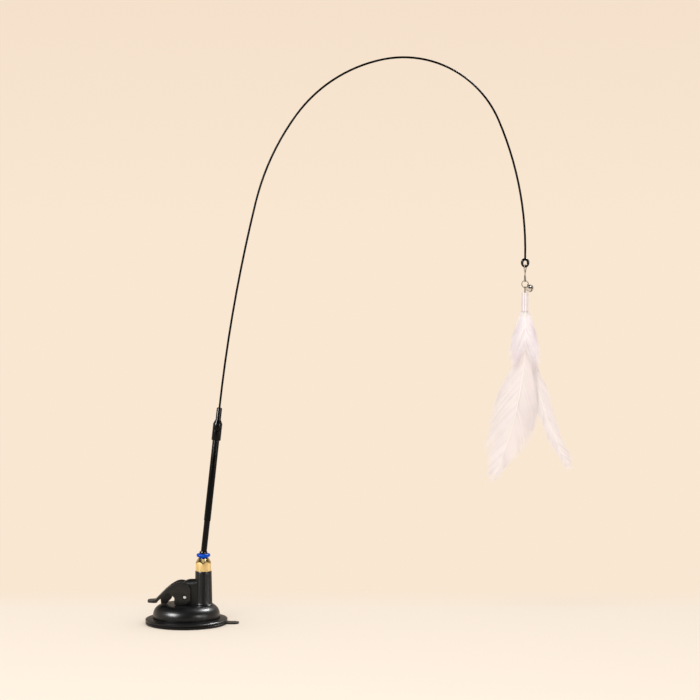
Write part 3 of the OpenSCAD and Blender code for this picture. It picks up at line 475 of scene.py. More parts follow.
BACK_SHARES = ((0, 0.1), (0.12, 0.27), (0.3, 0.6), (0.5, 0.9), (0.7, 0.95), (0.85, 0.75), (0.95, 0.4),
               (1, 0.08))
DOWN_SHARES = ((0, 0.3), (0.1, 0.42), (0.25, 0.6), (0.5, 0.86), (0.75, 1), (0.9, 0.95), (1, 0.7))


def profile(tree, factor, shares):
    """A float curve through these points, for a vane's widths along its shaft or for a taper."""
    node = add(tree, "ShaderNodeFloatCurve", {"Value": factor})
    curve = node.mapping.curves[0]
    for _ in shares[2:]:
        curve.points.new(0.5, 0.5)
    for point, (x, y) in zip(curve.points, shares):
        point.location = (x, y)
    node.mapping.update()
    return node


def barb_strand(tree):
    """One barb of unit length along X, tapered, with a diamond section. How far along it a point lies is
    stored in it."""
    line = add(tree, "GeometryNodeCurvePrimitiveLine", {"Start": (0, 0, 0), "End": (1, 0, 0)})
    steps = add(tree, "GeometryNodeResampleCurve", {"Curve": line, "Count": 8})
    along = add(tree, "GeometryNodeSplineParameter")
    taper = profile(tree, along.outputs["Factor"], ((0, 0.8), (0.2, 1), (0.7, 0.75), (1, 0.16)))
    kept = add(tree, "GeometryNodeStoreNamedAttribute", {
        "Geometry": steps, "Name": "reach", "Value": along.outputs["Factor"]}, domain="POINT")
    section = add(tree, "GeometryNodeCurvePrimitiveCircle", {"Resolution": 4, "Radius": 0.5})
    return add(tree, "GeometryNodeCurveToMesh", {
        "Curve": kept, "Profile Curve": section.outputs["Curve"], "Scale": taper, "Fill Caps": True})


VANE_INPUTS = (
    ("Seat", "NodeSocketVector"), ("Knee", "NodeSocketVector"),
    ("Start", "NodeSocketVector"), ("Pull", "NodeSocketVector"), ("Tip", "NodeSocketVector"),
    ("Width", "NodeSocketFloat"), ("Barbs", "NodeSocketInt"), ("Barb Width", "NodeSocketFloat"),
    ("Barb Thickness", "NodeSocketFloat"), ("Lean", "NodeSocketFloat"), ("Bow", "NodeSocketFloat"),
    ("Cup", "NodeSocketFloat"), ("Clumps", "NodeSocketFloat"), ("Clumping", "NodeSocketFloat"),
    ("Waviness", "NodeSocketFloat"), ("Length Scatter", "NodeSocketFloat"),
    ("Depth Scatter", "NodeSocketFloat"), ("Streaks", "NodeSocketFloat"),
    ("Shaft Radius", "NodeSocketFloat"), ("Seed", "NodeSocketInt"),
    ("Barb Material", "NodeSocketMaterial"), ("Shaft Material", "NodeSocketMaterial"))


def clumped(tree, place, odd, given):
    """Gathers the barbs' ends towards the middle of their clump, which opens splits between the clumps. It
    gives where each barb lies among the clumps, and where its end goes along the shaft."""
    clump = add(tree, "ShaderNodeMath", {0: place, 1: given["Clumps"]}, operation="MULTIPLY")
    uneven = add(tree, "ShaderNodeTexNoise", {"W": clump, "Scale": 0.7, "Detail": 0.0}, noise_dimensions="1D")
    shifted = add(tree, "ShaderNodeMath", {0: uneven, 1: 2.4, 2: clump}, operation="MULTIPLY_ADD")
    sided = add(tree, "ShaderNodeMath", {0: odd, 1: 0.43, 2: shifted}, operation="MULTIPLY_ADD")
    inside = add(tree, "ShaderNodeMath", {0: sided}, operation="FRACT")
    off = add(tree, "ShaderNodeMath", {0: inside, 1: 0.5}, operation="SUBTRACT")
    gap = add(tree, "ShaderNodeTexNoise", {"W": sided, "Scale": 0.37, "Detail": 0.0}, noise_dimensions="1D")
    open_here = add(tree, "ShaderNodeMapRange", {
        "Value": gap, "From Min": 0.5, "From Max": 0.68, "To Min": 0.1, "To Max": 1.0})
    firm = add(tree, "ShaderNodeMath", {0: open_here, 1: given["Clumping"]}, operation="MULTIPLY")
    pull = add(tree, "ShaderNodeMath", {0: off, 1: firm}, operation="MULTIPLY")
    moved = add(tree, "ShaderNodeMath", {0: pull, 1: given["Clumps"]}, operation="DIVIDE")
    gathered = add(tree, "ShaderNodeMath", {0: place, 1: moved}, operation="SUBTRACT", use_clamp=True)
    return sided, gathered


def swayed(tree, barbs, given):
    """Bows each barb as it was stored on it, lets its end sway, and gives it its material."""
    far = add(tree, "GeometryNodeInputNamedAttribute", {"Name": "reach"})
    kept = add(tree, "GeometryNodeInputNamedAttribute", {"Name": "bow"}, data_type="FLOAT_VECTOR")
    rest = add(tree, "ShaderNodeMath", {0: 1.0, 1: far}, operation="SUBTRACT")
    hump = add(tree, "ShaderNodeMath", {0: far, 1: rest}, operation="MULTIPLY")
    bent = add(tree, "ShaderNodeVectorMath", {0: kept, "Scale": hump}, operation="SCALE")
    where = add(tree, "GeometryNodeInputPosition")
    waves = add(tree, "ShaderNodeTexNoise", {"Vector": where, "Scale": per_mm(5), "Detail": 2.0})
    centred = add(tree, "ShaderNodeVectorMath", {0: waves.outputs["Color"], 1: (0.5, 0.5, 0.5)},
                  operation="SUBTRACT")
    squared = add(tree, "ShaderNodeMath", {0: far, 1: far}, operation="MULTIPLY")
    sway = add(tree, "ShaderNodeMath", {0: squared, 1: given["Waviness"]}, operation="MULTIPLY")
    wavy = add(tree, "ShaderNodeVectorMath", {0: centred, "Scale": sway}, operation="SCALE")
    shift = add(tree, "ShaderNodeVectorMath", {0: bent, 1: wavy}, operation="ADD")
    shaped = add(tree, "GeometryNodeSetPosition", {"Geometry": barbs, "Offset": shift})
    return add(tree, "GeometryNodeSetMaterial", {"Geometry": shaped, "Material": given["Barb Material"]})


def quill_stalk(tree, shaft, given):
    """The shaft, thick at the quill and hair-thin at the tip, and the quill's end bent into the tube."""
    along = add(tree, "GeometryNodeSplineParameter")
    taper = profile(tree, along.outputs["Factor"], ((0, 1), (0.4, 0.7), (0.8, 0.35), (1, 0.12)))
    thick = add(tree, "ShaderNodeMath", {0: taper, 1: given["Shaft Radius"]}, operation="MULTIPLY")
    section = add(tree, "GeometryNodeCurvePrimitiveCircle", {"Resolution": 10, "Radius": 1.0})
    rod = add(tree, "GeometryNodeCurveToMesh", {
        "Curve": shaft, "Profile Curve": section.outputs["Curve"], "Scale": thick, "Fill Caps": True})
    inner = add(tree, "GeometryNodeCurveQuadraticBezier", {
        "Resolution": 12, "Start": given["Seat"], "Middle": given["Knee"], "End": given["Start"]})
    butt = add(tree, "GeometryNodeCurveToMesh", {
        "Curve": inner, "Profile Curve": section.outputs["Curve"], "Scale": given["Shaft Radius"],
        "Fill Caps": True})
    stalk = add(tree, "GeometryNodeJoinGeometry")
    for part in (rod, butt):
        tree.links.new(part.outputs[0], stalk.inputs[0])
    return add(tree, "GeometryNodeSetMaterial", {"Geometry": stalk, "Material": given["Shaft Material"]})


def vane_tree(name, left, right):
    """Builds a feather's node tree: two rows of barbs along a curved shaft, in clumps that split apart."""
    tree = bpy.data.node_groups.new(name, "GeometryNodeTree")
    for label, kind in VANE_INPUTS:
        tree.interface.new_socket(name=label, in_out="INPUT", socket_type=kind)
    tree.interface.new_socket(name="Geometry", in_out="OUTPUT", socket_type="NodeSocketGeometry")
    group = add(tree, "NodeGroupInput")
    given = {label: group.outputs[label] for label, _ in VANE_INPUTS}
    shaft = add(tree, "GeometryNodeCurveQuadraticBezier", {
        "Resolution": 40, "Start": given["Start"], "Middle": given["Pull"], "End": given["Tip"]})

    # Each point is one barb: even ones go left and odd ones right, at the place where the barb ends
    points = add(tree, "GeometryNodePoints", {"Count": given["Barbs"]})
    index = add(tree, "GeometryNodeInputIndex")
    odd = add(tree, "ShaderNodeMath", {0: index, 1: 2.0}, operation="MODULO")
    side = add(tree, "ShaderNodeMath", {0: odd, 1: 2.0, 2: -1.0}, operation="MULTIPLY_ADD")
    scatter = add(tree, "FunctionNodeRandomValue", {2: -1.0, 3: 1.0, "Seed": given["Seed"]})
    spot = add(tree, "ShaderNodeMath", {0: index, 1: scatter.outputs[1]}, operation="ADD")
    place = add(tree, "ShaderNodeMath", {0: spot, 1: given["Barbs"]}, operation="DIVIDE", use_clamp=True)
    half = add(tree, "ShaderNodeMix", {
        0: odd, 2: profile(tree, place, left), 3: profile(tree, place, right)}, data_type="FLOAT")

    # The root lies nearer the quill than the end, by the lean of the barbs
    back = add(tree, "ShaderNodeMath", {0: half, 1: given["Lean"]}, operation="MULTIPLY")
    most = add(tree, "ShaderNodeMath", {0: place, 1: 0.85}, operation="MULTIPLY")
    step = add(tree, "ShaderNodeMath", {0: back, 1: most}, operation="MINIMUM")
    root = add(tree, "ShaderNodeMath", {0: place, 1: step}, operation="SUBTRACT")

    sided, gathered = clumped(tree, place, odd, given)
    root_at = add(tree, "GeometryNodeSampleCurve", {"Curves": shaft, "Factor": root}, mode="FACTOR")
    end_at = add(tree, "GeometryNodeSampleCurve", {"Curves": shaft, "Factor": gathered}, mode="FACTOR")
    across = add(tree, "ShaderNodeVectorMath", {0: end_at.outputs["Tangent"], 1: (0, 1, 0)},
                 operation="CROSS_PRODUCT")
    flat = add(tree, "ShaderNodeVectorMath", {0: across}, operation="NORMALIZE")

    # Width there, with each barb a little longer or shorter, and the vane cupped and ruffled in depth
    length = add(tree, "FunctionNodeRandomValue", {2: -1.0, 3: 0.35, "Seed": given["Seed"], "ID": index})
    ragged = add(tree, "ShaderNodeMath", {0: length.outputs[1], 1: given["Length Scatter"], 2: 1.0},
                 operation="MULTIPLY_ADD")
    wide = add(tree, "ShaderNodeMath", {0: half, 1: given["Width"]}, operation="MULTIPLY")
    reach = add(tree, "ShaderNodeMath", {0: wide, 1: ragged}, operation="MULTIPLY")
    signed = add(tree, "ShaderNodeMath", {0: reach, 1: side}, operation="MULTIPLY")
    out = add(tree, "ShaderNodeVectorMath", {0: flat, "Scale": signed}, operation="SCALE")
    depth = add(tree, "FunctionNodeRandomValue", {2: -1.0, 3: 1.0, "Seed": 0, "ID": index})
    ruffle = add(tree, "ShaderNodeTexNoise", {"W": sided, "Scale": 0.9, "Detail": 1.0}, noise_dimensions="1D")
    ruffled = add(tree, "ShaderNodeMath", {0: ruffle, 1: 0.5}, operation="SUBTRACT")
    rolled = add(tree, "ShaderNodeMath", {0: ruffled, 1: 3.0, 2: depth.outputs[1]}, operation="MULTIPLY_ADD")
    ruffle_y = add(tree, "ShaderNodeMath", {0: rolled, 1: given["Depth Scatter"]}, operation="MULTIPLY")
    cup_y = add(tree, "ShaderNodeMath", {0: reach, 1: given["Cup"], 2: ruffle_y}, operation="MULTIPLY_ADD")
    lift = add(tree, "ShaderNodeCombineXYZ", {"Y": cup_y})
    edge = add(tree, "ShaderNodeVectorMath", {0: end_at.outputs["Position"], 1: out}, operation="ADD")
    end = add(tree, "ShaderNodeVectorMath", {0: edge, 1: lift}, operation="ADD")
    line = add(tree, "ShaderNodeVectorMath", {0: end, 1: root_at.outputs["Position"]}, operation="SUBTRACT")
    span = add(tree, "ShaderNodeVectorMath", {0: line}, operation="LENGTH")

    # Barbs overlap like tiles: each is rolled a little about its own length
    facing = add(tree, "ShaderNodeMath", {0: side, 1: 0.35}, operation="MULTIPLY")
    tile = add(tree, "ShaderNodeCombineXYZ", {"X": facing, "Y": side})
    turn = add(tree, "FunctionNodeAxesToRotation", {
        "Primary Axis": line, "Secondary Axis": tile}, primary_axis="X", secondary_axis="Z")
    size = add(tree, "ShaderNodeCombineXYZ", {
        "X": span.outputs["Value"], "Y": given["Barb Width"], "Z": given["Barb Thickness"]})
    placed = add(tree, "GeometryNodeSetPosition", {
        "Geometry": points, "Position": root_at.outputs["Position"]})
    rows = add(tree, "GeometryNodeInstanceOnPoints", {
        "Points": placed, "Instance": barb_strand(tree), "Rotation": turn, "Scale": size})

    # The bow is worked out for the whole barb and kept on it, before it becomes a mesh
    bow_dir = add(tree, "ShaderNodeVectorMath", {
        0: end_at.outputs["Tangent"], "Scale": span.outputs["Value"]}, operation="SCALE")
    bow = add(tree, "ShaderNodeVectorMath", {0: bow_dir, "Scale": given["Bow"]}, operation="SCALE")
    with_bow = add(tree, "GeometryNodeStoreNamedAttribute", {
        "Geometry": rows, "Name": "bow", "Value": bow}, data_type="FLOAT_VECTOR", domain="INSTANCE")
    own = add(tree, "FunctionNodeRandomValue", {2: -0.12, 3: 0.12, "Seed": given["Barbs"], "ID": index})
    streak = add(tree, "ShaderNodeTexNoise", {
        "W": sided, "Scale": given["Streaks"], "Detail": 2.0}, noise_dimensions="1D")
    tone = add(tree, "ShaderNodeMath", {0: streak, 1: own.outputs[1]}, operation="ADD")
    with_tone = add(tree, "GeometryNodeStoreNamedAttribute", {
        "Geometry": with_bow, "Name": "tone", "Value": tone}, domain="INSTANCE")
    barbs = add(tree, "GeometryNodeRealizeInstances", {"Geometry": with_tone})

    both = add(tree, "GeometryNodeJoinGeometry")
    for part in (swayed(tree, barbs, given), quill_stalk(tree, shaft, given)):
        tree.links.new(part.outputs[0], both.inputs[0])
    whole = add(tree, "GeometryNodeRealizeInstances", {"Geometry": both})
    add(tree, "NodeGroupOutput", {0: whole})
    return tree


def grown(piece, tree, values):
    """Runs a feather's tree on an empty mesh with these inputs and keeps the result as a plain mesh."""
    obj = linked(piece, bpy.data.meshes.new(piece))
    modifier = obj.modifiers.new("vane", "NODES")
    modifier.node_group = tree
    sockets = {s.name: s.identifier for s in tree.interface.items_tree if s.in_out == "INPUT"}
    for label, value in values.items():
        modifier[sockets[label]] = value
    settled(obj)
    obj.data.shade_flat()
    drop_attributes(obj.data, ("reach", "bow"))
    return obj


def quill_mouth():
    """The middle of the clear tube's lower end, where the feathers come out."""
    low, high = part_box("quill_tube")
    return Vector(((low.x + high.x) / 2, (low.y + high.y) / 2, low.z))


def shaft_points(shares, length, depths):
    """A shaft's start, pull point and tip in the frame, each at its own depth."""
    mouth = quill_mouth()
    return [mouth + Vector((x * length, y, z * length)) for (x, z), y in zip(shares, depths)]


def seat_points(start, seat):
    """Where a quill ends inside the tube, and the knee of its bend on the way there."""
    room_share = 0.36
    knee_share = 0.3
    low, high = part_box("quill_tube")
    mouth = quill_mouth()
    reach = room_share * (high.x - low.x)
    top = mouth + Vector((seat[0] * reach, seat[1] * reach, seat[2] * (high.z - low.z)))
    knee = Vector((top.x, top.y, start.z + knee_share * (top.z - start.z)))
    return top, knee


# Operators

BLACK_PIECES = ("cup_rubber", "housing_moulding", "lever_moulding", "pin_turned", "collar_acetal",
                "liner_sleeve", "rod_lacquered", "sleeve_shrunk", "ferrule_lower", "ferrule_upper",
                "wire_nylon", "eye_lacquered")
BRIGHT_PIECES = ("fitting_brass", "stem_turned", "clip_wire", "ring_wire", "bell_top", "bell_bottom",
                 "bell_eyelet", "loop_wire")

# Softboxes: name, azimuth and elevation in degrees, distance, width and height in metres, brightness
BLACK_LAMPS = (("key_shine", -54, 33, 1.3, 0.5, 0.36, 72), ("back_shine", 128, 50, 1.3, 0.3, 0.3, 85),
               ("right_shine", 47, 18, 1.4, 0.24, 0.2, 36), ("strip_shine", 68, 12, 1.4, 0.14, 0.7, 11))
METAL_LAMPS = (("metal_shine", 60, 60, 1.2, 0.3, 0.3, 9), ("metal_edge", -62, 7, 1.2, 0.3, 0.3, 1.3),
               ("metal_top", -25, 70, 1.2, 0.9, 0.5, 0.8))
SOFT_LAMPS = (("key_soft", -14, 50, 1.6, 0.8, 0.8, 3.2), ("front_soft", 8, 12, 2.0, 1.2, 0.8, 2.2))


class WAND_OT_stage(bpy.types.Operator):
    """Makes the paper, the room and the camera"""
    bl_idname = "wand.stage"
    bl_label = "Stage"

    def execute(self, context):
        stage = settings()[2]
        self.camera(stage)
        self.paper(stage)
        self.world(stage)
        context.scene.view_settings.view_transform = "Standard"
        return {"FINISHED"}

    def camera(self, stage):
        data = bpy.data.cameras.new("camera")
        data.lens = stage.camera_lens
        data.sensor_width = 36
        data.clip_start = 0.01
        data.clip_end = 60
        obj = linked("camera", data)
        obj.location = stage.camera_place
        obj.rotation_euler = (math.pi / 2 - stage.camera_pitch, 0, 0)
        bpy.context.scene.camera = obj

    def paper(self, stage):
        """A sheet of paper that takes the soft shadow near the object and melts into the backdrop beyond."""
        half = 30.0
        melts_behind = (0.045, 0.14)
        melts_before = (-0.55, -0.35)
        mesh = bpy.data.meshes.new("paper")
        mesh.from_pydata([(-half, -half, 0), (half, -half, 0), (half, half, 0), (-half, half, 0)], [],
                         [(0, 1, 2, 3)])
        obj = linked("paper", mesh)
        material = bpy.data.materials.new("cream_paper")
        material.use_nodes = True
        tree = material.node_tree
        tree.nodes.clear()
        place = add(tree, "ShaderNodeTexCoord").outputs["Object"]
        parts = add(tree, "ShaderNodeSeparateXYZ", {"Vector": place})
        lit = add(tree, "ShaderNodeBsdfDiffuse", {"Color": stage.floor})
        glow = add(tree, "ShaderNodeEmission", {"Color": stage.backdrop, "Strength": 1.0})
        behind = add(tree, "ShaderNodeMapRange", {
            "Value": parts.outputs["Y"], "From Min": melts_behind[0], "From Max": melts_behind[1]},
            interpolation_type="SMOOTHSTEP")
        before = add(tree, "ShaderNodeMapRange", {
            "Value": parts.outputs["Y"], "From Min": melts_before[0], "From Max": melts_before[1],
            "To Min": 1.0, "To Max": 0.0}, interpolation_type="SMOOTHSTEP")
        plain = add(tree, "ShaderNodeMath", {0: behind, 1: before}, operation="MAXIMUM")
        surface = add(tree, "ShaderNodeMixShader", {0: plain, 1: lit, 2: glow})
        add(tree, "ShaderNodeOutputMaterial", {"Surface": surface})
        mesh.materials.append(material)

    def world(self, stage):
        """Camera rays and those through the clear tube see the plain backdrop, glossy ones a cream room with
        a dark camera side, and the rest an even white light."""
        world = bpy.data.worlds.new("studio")
        world.use_nodes = True
        bpy.context.scene.world = world
        tree = world.node_tree
        tree.nodes.clear()
        rays = add(tree, "ShaderNodeLightPath")
        ray = add(tree, "ShaderNodeTexCoord").outputs["Generated"]
        way = add(tree, "ShaderNodeSeparateXYZ", {"Vector": ray})
        rise = add(tree, "ShaderNodeMapRange", {"Value": way.outputs["Z"], "From Min": 0.0, "From Max": 0.1})
        sky = add(tree, "ShaderNodeMix", {
            0: rise, 6: list(stage.backdrop), 7: srgb("#F5E1CB")}, data_type="RGBA").outputs[2]
        seen = add(tree, "ShaderNodeBackground", {"Color": sky, "Strength": 1.0})
        front = add(tree, "ShaderNodeMapRange", {
            "Value": way.outputs["Y"], "From Min": -0.9, "From Max": -0.55, "To Min": 0.1, "To Max": 1.0},
            interpolation_type="SMOOTHSTEP")
        top = add(tree, "ShaderNodeMapRange", {
            "Value": way.outputs["Z"], "From Min": 0.12, "From Max": 0.7, "To Min": 0.85, "To Max": 0.05},
            interpolation_type="SMOOTHSTEP")
        behind = add(tree, "ShaderNodeMapRange", {
            "Value": way.outputs["Y"], "From Min": 0.55, "From Max": 0.95, "To Min": 1.0, "To Max": 0.6},
            interpolation_type="SMOOTHSTEP")
        round_it = add(tree, "ShaderNodeMath", {0: front, 1: behind}, operation="MULTIPLY")
        level = add(tree, "ShaderNodeMath", {0: round_it, 1: top}, operation="MULTIPLY")
        room = add(tree, "ShaderNodeBackground", {"Color": stage.backdrop, "Strength": level})
        light = add(tree, "ShaderNodeBackground", {"Color": srgb("#FFFDFA"), "Strength": 0.79})
        mirrored = add(tree, "ShaderNodeMixShader", {0: rays.outputs["Is Glossy Ray"], 1: light, 2: room})
        open_view = add(tree, "ShaderNodeMath", {
            0: rays.outputs["Is Camera Ray"], 1: rays.outputs["Is Transmission Ray"]}, operation="MAXIMUM")
        final = add(tree, "ShaderNodeMixShader", {0: open_view, 1: mirrored, 2: seen})
        add(tree, "ShaderNodeOutputWorld", {"Surface": final})


class WAND_OT_base(bpy.types.Operator):
    """Dresses the suction base, its lever and the pieces inside"""
    bl_idname = "wand.base"
    bl_label = "Suction base"

    def execute(self, context):
        finish = settings()[0]
        edge = finish.edge_round
        cup = dressed("suction_cup", "cup_rubber", pressed_rubber(), rides=False)
        shell = moulded_abs("moulded_abs", finish.housing_black, (0.3, 0.36), 0.3)
        dressed("housing", "housing_moulding", shell, edge)
        handle = moulded_abs("lever_abs", finish.lever_black, (0.3, 0.38), 0.3)
        dressed("lever", "lever_moulding", handle, 1.6 * edge)
        steel = drawn_metal("ground_steel", "#D2D3D5", (0.16, 0.3))
        dressed("stem", "stem_turned", steel)
        dressed("lever_pin", "pin_turned", drawn_metal("pin_steel", "#E6E6E6", (0.2, 0.34)))
        painted("stem_disc", steel)
        spring = dressed("return_spring", "spring_coil", steel, rides=False)
        self.follow_stem(cup, spring)
        return {"FINISHED"}

    def follow_stem(self, cup, spring):
        """Bakes the cup's and the spring's places into their meshes; neither rides on a body."""
        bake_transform(cup)
        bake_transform(spring)


class WAND_OT_fitting(bpy.types.Operator):
    """Dresses the push-in fitting"""
    bl_idname = "wand.fitting"
    bl_label = "Push-in fitting"

    def execute(self, context):
        finish = settings()[0]
        edge = finish.edge_round
        dressed("fitting_body", "fitting_brass", turned_brass(finish.brass_yellow), 0.5 * edge)
        turned("release_collar", "collar_acetal", acetal(finish.collar_blue),
               self.collar_outline(finish.collar_head))
        liner = black_skin("liner_black", "#050505", (0.16, 0.22), 0.35)
        dressed("collar_liner", "liner_sleeve", liner)
        painted("o_ring", pressed_rubber())
        painted("grip_ring", drawn_metal("grip_steel", "#C9C9C7", (0.2, 0.3)))
        return {"FINISHED"}

    def collar_outline(self, head):
        """The collar's section: a bored neck inside the brass, and a full round head above it."""
        low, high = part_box("release_collar")
        bore = 2.05 * MM
        flare = 0.25 * MM
        neck = 2.8 * MM
        round_r = 0.38 * head
        outer = (high.x - low.x) / 2 - round_r
        arcs = ((high.z - head + round_r, range(-90, 1, 10)), (high.z - round_r, range(0, 91, 10)))
        bead = [(outer + round_r * math.cos(math.radians(d)), z + round_r * math.sin(math.radians(d)))
                for z, degrees in arcs for d in degrees]
        return [(bore, low.z), (neck, low.z), (neck, high.z - head)] + bead + [
            (bore + flare, high.z), (bore, high.z - head)]


class WAND_OT_rod(bpy.types.Operator):
    """Dresses the rod, its sleeve and the ferrule"""
    bl_idname = "wand.rod"
    bl_label = "Rod and ferrule"

    def execute(self, context):
        edge = settings()[0].edge_round
        dressed("rod", "rod_lacquered", black_skin("rod_lacquer", "#030302", (0.2, 0.28), 0.14))
        dressed("shrink_sleeve", "sleeve_shrunk", black_skin("shrunk_sleeve", "#020202", (0.24, 0.34), 0.1),
                0.5 * edge)
        ferrule = black_skin("ferrule_black", "#040303", (0.2, 0.28), 0.14)
        dressed("ferrule_socket", "ferrule_lower", ferrule, 0.5 * edge)
        dressed("ferrule_cap", "ferrule_upper", ferrule, 0.5 * edge)
        return {"FINISHED"}


class WAND_OT_wire(bpy.types.Operator):
    """Dresses the sprung wire and its eye"""
    bl_idname = "wand.wire"
    bl_label = "Sprung wire"

    def execute(self, context):
        painted("wire_core", drawn_metal("spring_steel", "#B9BABC", (0.2, 0.35)))
        finish = settings()[0]
        bar_h = 1.5 * MM
        nylon = black_skin("nylon_coating", "#020202", (0.26, 0.36), 0.06)
        coat = dressed("wire_coating", "wire_nylon", nylon)
        lacquer = black_skin("eye_lacquer", "#040404", (0.1, 0.18), 0.22)
        eye = dressed("wire_eye", "eye_lacquered", lacquer)
        bar_top = min(v.co.z for v in eye.data.vertices) + bar_h
        below_floor = -1.0
        self.thicken(coat.data, finish.wire_coat, below_floor)
        self.thicken(eye.data, finish.eye_coat, bar_top)
        return {"FINISHED"}

    def thicken(self, mesh, coat, bare_below):
        """Adds a coat to a skin, but none below this height, where the clip hangs on the eye's bar."""
        fade = 1.5 * MM
        shares = [min(1.0, max(0.0, (v.co.z - bare_below) / fade)) for v in mesh.vertices]
        pushed = [v.co + v.normal * coat * share for v, share in zip(mesh.vertices, shares)]
        for vertex, place in zip(mesh.vertices, pushed):
            vertex.co = place


class WAND_OT_hardware(bpy.types.Operator):
    """Dresses the clip, the split ring and the bell"""
    bl_idname = "wand.hardware"
    bl_label = "Clip, ring and bell"

    def execute(self, context):
        nickel = drawn_metal("nickel_wire", "#B2AEA8", (0.14, 0.24))
        chrome = drawn_metal("bell_chrome", "#DCD9D4", (0.04, 0.09))
        dressed("clip", "clip_wire", nickel)
        dressed("split_ring", "ring_wire", nickel)
        dressed("bell_upper", "bell_top", chrome, crisp=50)
        dressed("bell_lower", "bell_bottom", chrome, crisp=50)
        dressed("bell_loop", "bell_eyelet", chrome)
        painted("bell_ball", drawn_metal("ball_steel", "#A9A9A9", (0.2, 0.3)))
        return {"FINISHED"}


class WAND_OT_tube(bpy.types.Operator):
    """Dresses the clear tube, its glue and the hanging loop"""
    bl_idname = "wand.tube"
    bl_label = "Quill tube"

    def execute(self, context):
        dressed("quill_loop", "loop_wire", drawn_metal("loop_nickel", "#B2AEA8", (0.16, 0.26)))
        dressed("quill_plug", "glue_plug", hot_glue())
        dressed("quill_tube", "tube_vinyl", soft_vinyl())
        return {"FINISHED"}


class WAND_OT_feathers(bpy.types.Operator):
    """Grows the three feathers"""
    bl_idname = "wand.feathers"
    bl_label = "Feathers"

    def execute(self, context):
        finish, plumage, _ = settings()
        white = finish.vane_white
        barb_step = 0.1 * MM
        keratin = feather_keratin("feather_keratin", list(white), shade(white, 0.88), 0.6)
        horn = quill_horn()
        rows = (
            ("feather_long", "long_vane", LONG_SHAFT_SHARES, LONG_LEFT_SHARES, LONG_RIGHT_SHARES,
             plumage.long_l, plumage.long_w, -plumage.layer_step, 0.1, (-0.1, -0.8, 0.8)),
            ("feather_side", "side_vane", SIDE_SHAFT_SHARES, SIDE_LEFT_SHARES, SIDE_RIGHT_SHARES,
             plumage.side_l, plumage.side_w, plumage.layer_step, -0.1, (0.7, 0.2, 0.75)),
            ("feather_back", "back_vane", BACK_SHAFT_SHARES, BACK_SHARES, BACK_SHARES,
             plumage.back_l, plumage.back_w, 0.0, 0.05, (-0.8, 0.1, 0.7)))
        for node, piece, shaft, left, right, length, width, y, cup, seat in rows:
            start, pull, tip = shaft_points(shaft, length, (y, y, y))
            top, knee = seat_points(start, seat)
            obj = grown(piece, vane_tree(piece, left, right), {
                "Seat": top, "Knee": knee, "Start": start, "Pull": pull, "Tip": tip, "Width": width,
                "Barbs": int(length / barb_step), "Barb Width": 0.26 * MM, "Barb Thickness": 0.07 * MM,
                "Lean": 2.0 * width / length, "Bow": -0.3, "Cup": cup, "Clumps": 13.0, "Clumping": 0.12,
                "Waviness": 0.6 * MM, "Length Scatter": 0.04, "Depth Scatter": 0.2 * MM, "Streaks": 2.6,
                "Shaft Radius": plumage.quill_r, "Seed": plumage.seed,
                "Barb Material": keratin, "Shaft Material": horn})
            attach(obj, "lure")
            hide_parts(node)
        return {"FINISHED"}


class WAND_OT_down(bpy.types.Operator):
    """Grows the down in front of the quills and behind them"""
    bl_idname = "wand.down"
    bl_label = "Down"

    def execute(self, context):
        plumage = settings()[1]
        barb_step = 0.05 * MM
        off = 2.2 * plumage.layer_step
        fluff = feather_keratin("down_keratin", srgb("#EFEAED"), srgb("#D9CBD1"), 0.7)
        horn = bpy.data.materials["quill_horn"]
        for node, piece, y, seat in (("down_front", "front_down", -off, (0.5, -0.7, 0.6)),
                                     ("down_rear", "rear_down", off, (0.1, 0.9, 0.6))):
            start, pull, tip = shaft_points(DOWN_SHAFT_SHARES, plumage.down_l, (0.3 * y, y, y))
            top, knee = seat_points(start, seat)
            obj = grown(piece, vane_tree(piece, DOWN_SHARES, DOWN_SHARES), {
                "Seat": top, "Knee": knee, "Start": start, "Pull": pull, "Tip": tip, "Width": plumage.down_w,
                "Barbs": int(plumage.down_l / barb_step), "Barb Width": 0.16 * MM,
                "Barb Thickness": 0.05 * MM, "Lean": 2.2 * plumage.down_w / plumage.down_l, "Bow": -0.25,
                "Cup": 0.05, "Clumps": 13.0,
                "Clumping": 0.45, "Waviness": 1.6 * MM, "Length Scatter": 0.34, "Depth Scatter": 0.25 * MM,
                "Streaks": 1.1, "Shaft Radius": 0.7 * plumage.quill_r, "Seed": plumage.seed + 1,
                "Barb Material": fluff, "Shaft Material": horn})
            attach(obj, "lure")
            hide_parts(node)
        return {"FINISHED"}


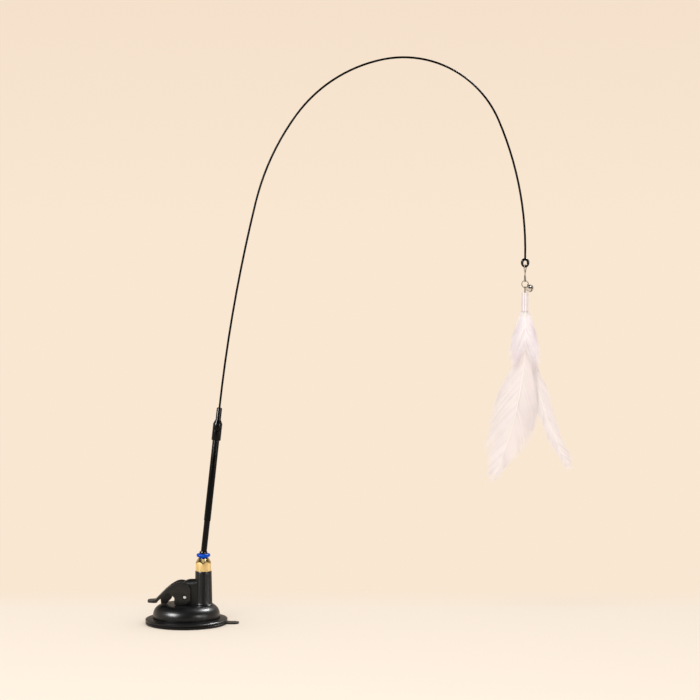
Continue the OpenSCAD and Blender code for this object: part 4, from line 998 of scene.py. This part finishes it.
class WAND_OT_lamps(bpy.types.Operator):
    """Sets up the soft lamps, and flags the shiny ones so that each lights only its own kind of surface"""
    bl_idname = "wand.lamps"
    bl_label = "Lamps"

    def execute(self, context):
        blacks = self.group("black_pieces", BLACK_PIECES)
        metals = self.group("bright_pieces", BRIGHT_PIECES)
        for rows, receivers in ((BLACK_LAMPS, blacks), (METAL_LAMPS, metals), (SOFT_LAMPS, None)):
            for row in rows:
                self.lamp(*row, receivers)
        return {"FINISHED"}

    def group(self, name, pieces):
        """A collection of pieces that share their lamps."""
        collection = bpy.data.collections.new(name)
        for piece in pieces:
            collection.objects.link(bpy.data.objects[piece])
        return collection

    def lamp(self, name, azimuth, elevation, distance, width, height, bright, receivers):
        """One softbox, by its azimuth from the camera's side, its elevation and its brightness. With
        receivers it only shines in their gloss, and without it lights every matt surface."""
        aim = Vector((0.03, 0, 0.03))
        a = math.radians(azimuth)
        e = math.radians(elevation)
        towards = Vector((math.sin(a) * math.cos(e), -math.cos(a) * math.cos(e), math.sin(e)))
        data = bpy.data.lights.new(name, "AREA")
        data.shape = "RECTANGLE"
        data.size = width
        data.size_y = height
        data.energy = bright * math.pi * width * height
        obj = linked(name, data)
        obj.location = aim + towards * distance
        obj.rotation_euler = (-towards).to_track_quat("-Z", "Y").to_euler()
        obj.visible_diffuse = receivers is None
        obj.visible_glossy = receivers is not None
        obj.visible_transmission = False
        obj.light_linking.receiver_collection = receivers


STEPS = (WAND_OT_stage, WAND_OT_base, WAND_OT_fitting, WAND_OT_rod, WAND_OT_wire, WAND_OT_hardware,
         WAND_OT_tube, WAND_OT_feathers, WAND_OT_down, WAND_OT_lamps)


class WAND_PT_panel(bpy.types.Panel):
    """Lists the wand's steps and sizes"""
    bl_idname = "WAND_PT_panel"
    bl_label = "Teaser Wand"
    bl_space_type = "VIEW_3D"
    bl_region_type = "UI"
    bl_category = "Teaser Wand"

    def draw(self, context):
        for step in STEPS:
            self.layout.operator(step.bl_idname)
        for group in settings():
            for name in group.__annotations__:
                self.layout.prop(group, name)


GROUPS = {"wand_finish": WandFinish, "wand_plumage": WandPlumage, "wand_stage": WandStage}


def register():
    for kind in (*GROUPS.values(), *STEPS, WAND_PT_panel):
        bpy.utils.register_class(kind)
    for name, kind in GROUPS.items():
        setattr(bpy.types.Scene, name, bpy.props.PointerProperty(type=kind))


def unregister():
    for name in GROUPS:
        delattr(bpy.types.Scene, name)
    for kind in reversed((*GROUPS.values(), *STEPS, WAND_PT_panel)):
        bpy.utils.unregister_class(kind)


def main():
    register()
    bpy.ops.wand.stage()
    bpy.ops.wand.base()
    bpy.ops.wand.fitting()
    bpy.ops.wand.rod()
    bpy.ops.wand.wire()
    bpy.ops.wand.hardware()
    bpy.ops.wand.tube()
    bpy.ops.wand.feathers()
    bpy.ops.wand.down()
    bpy.ops.wand.lamps()


if __name__ == "__main__":
    main()
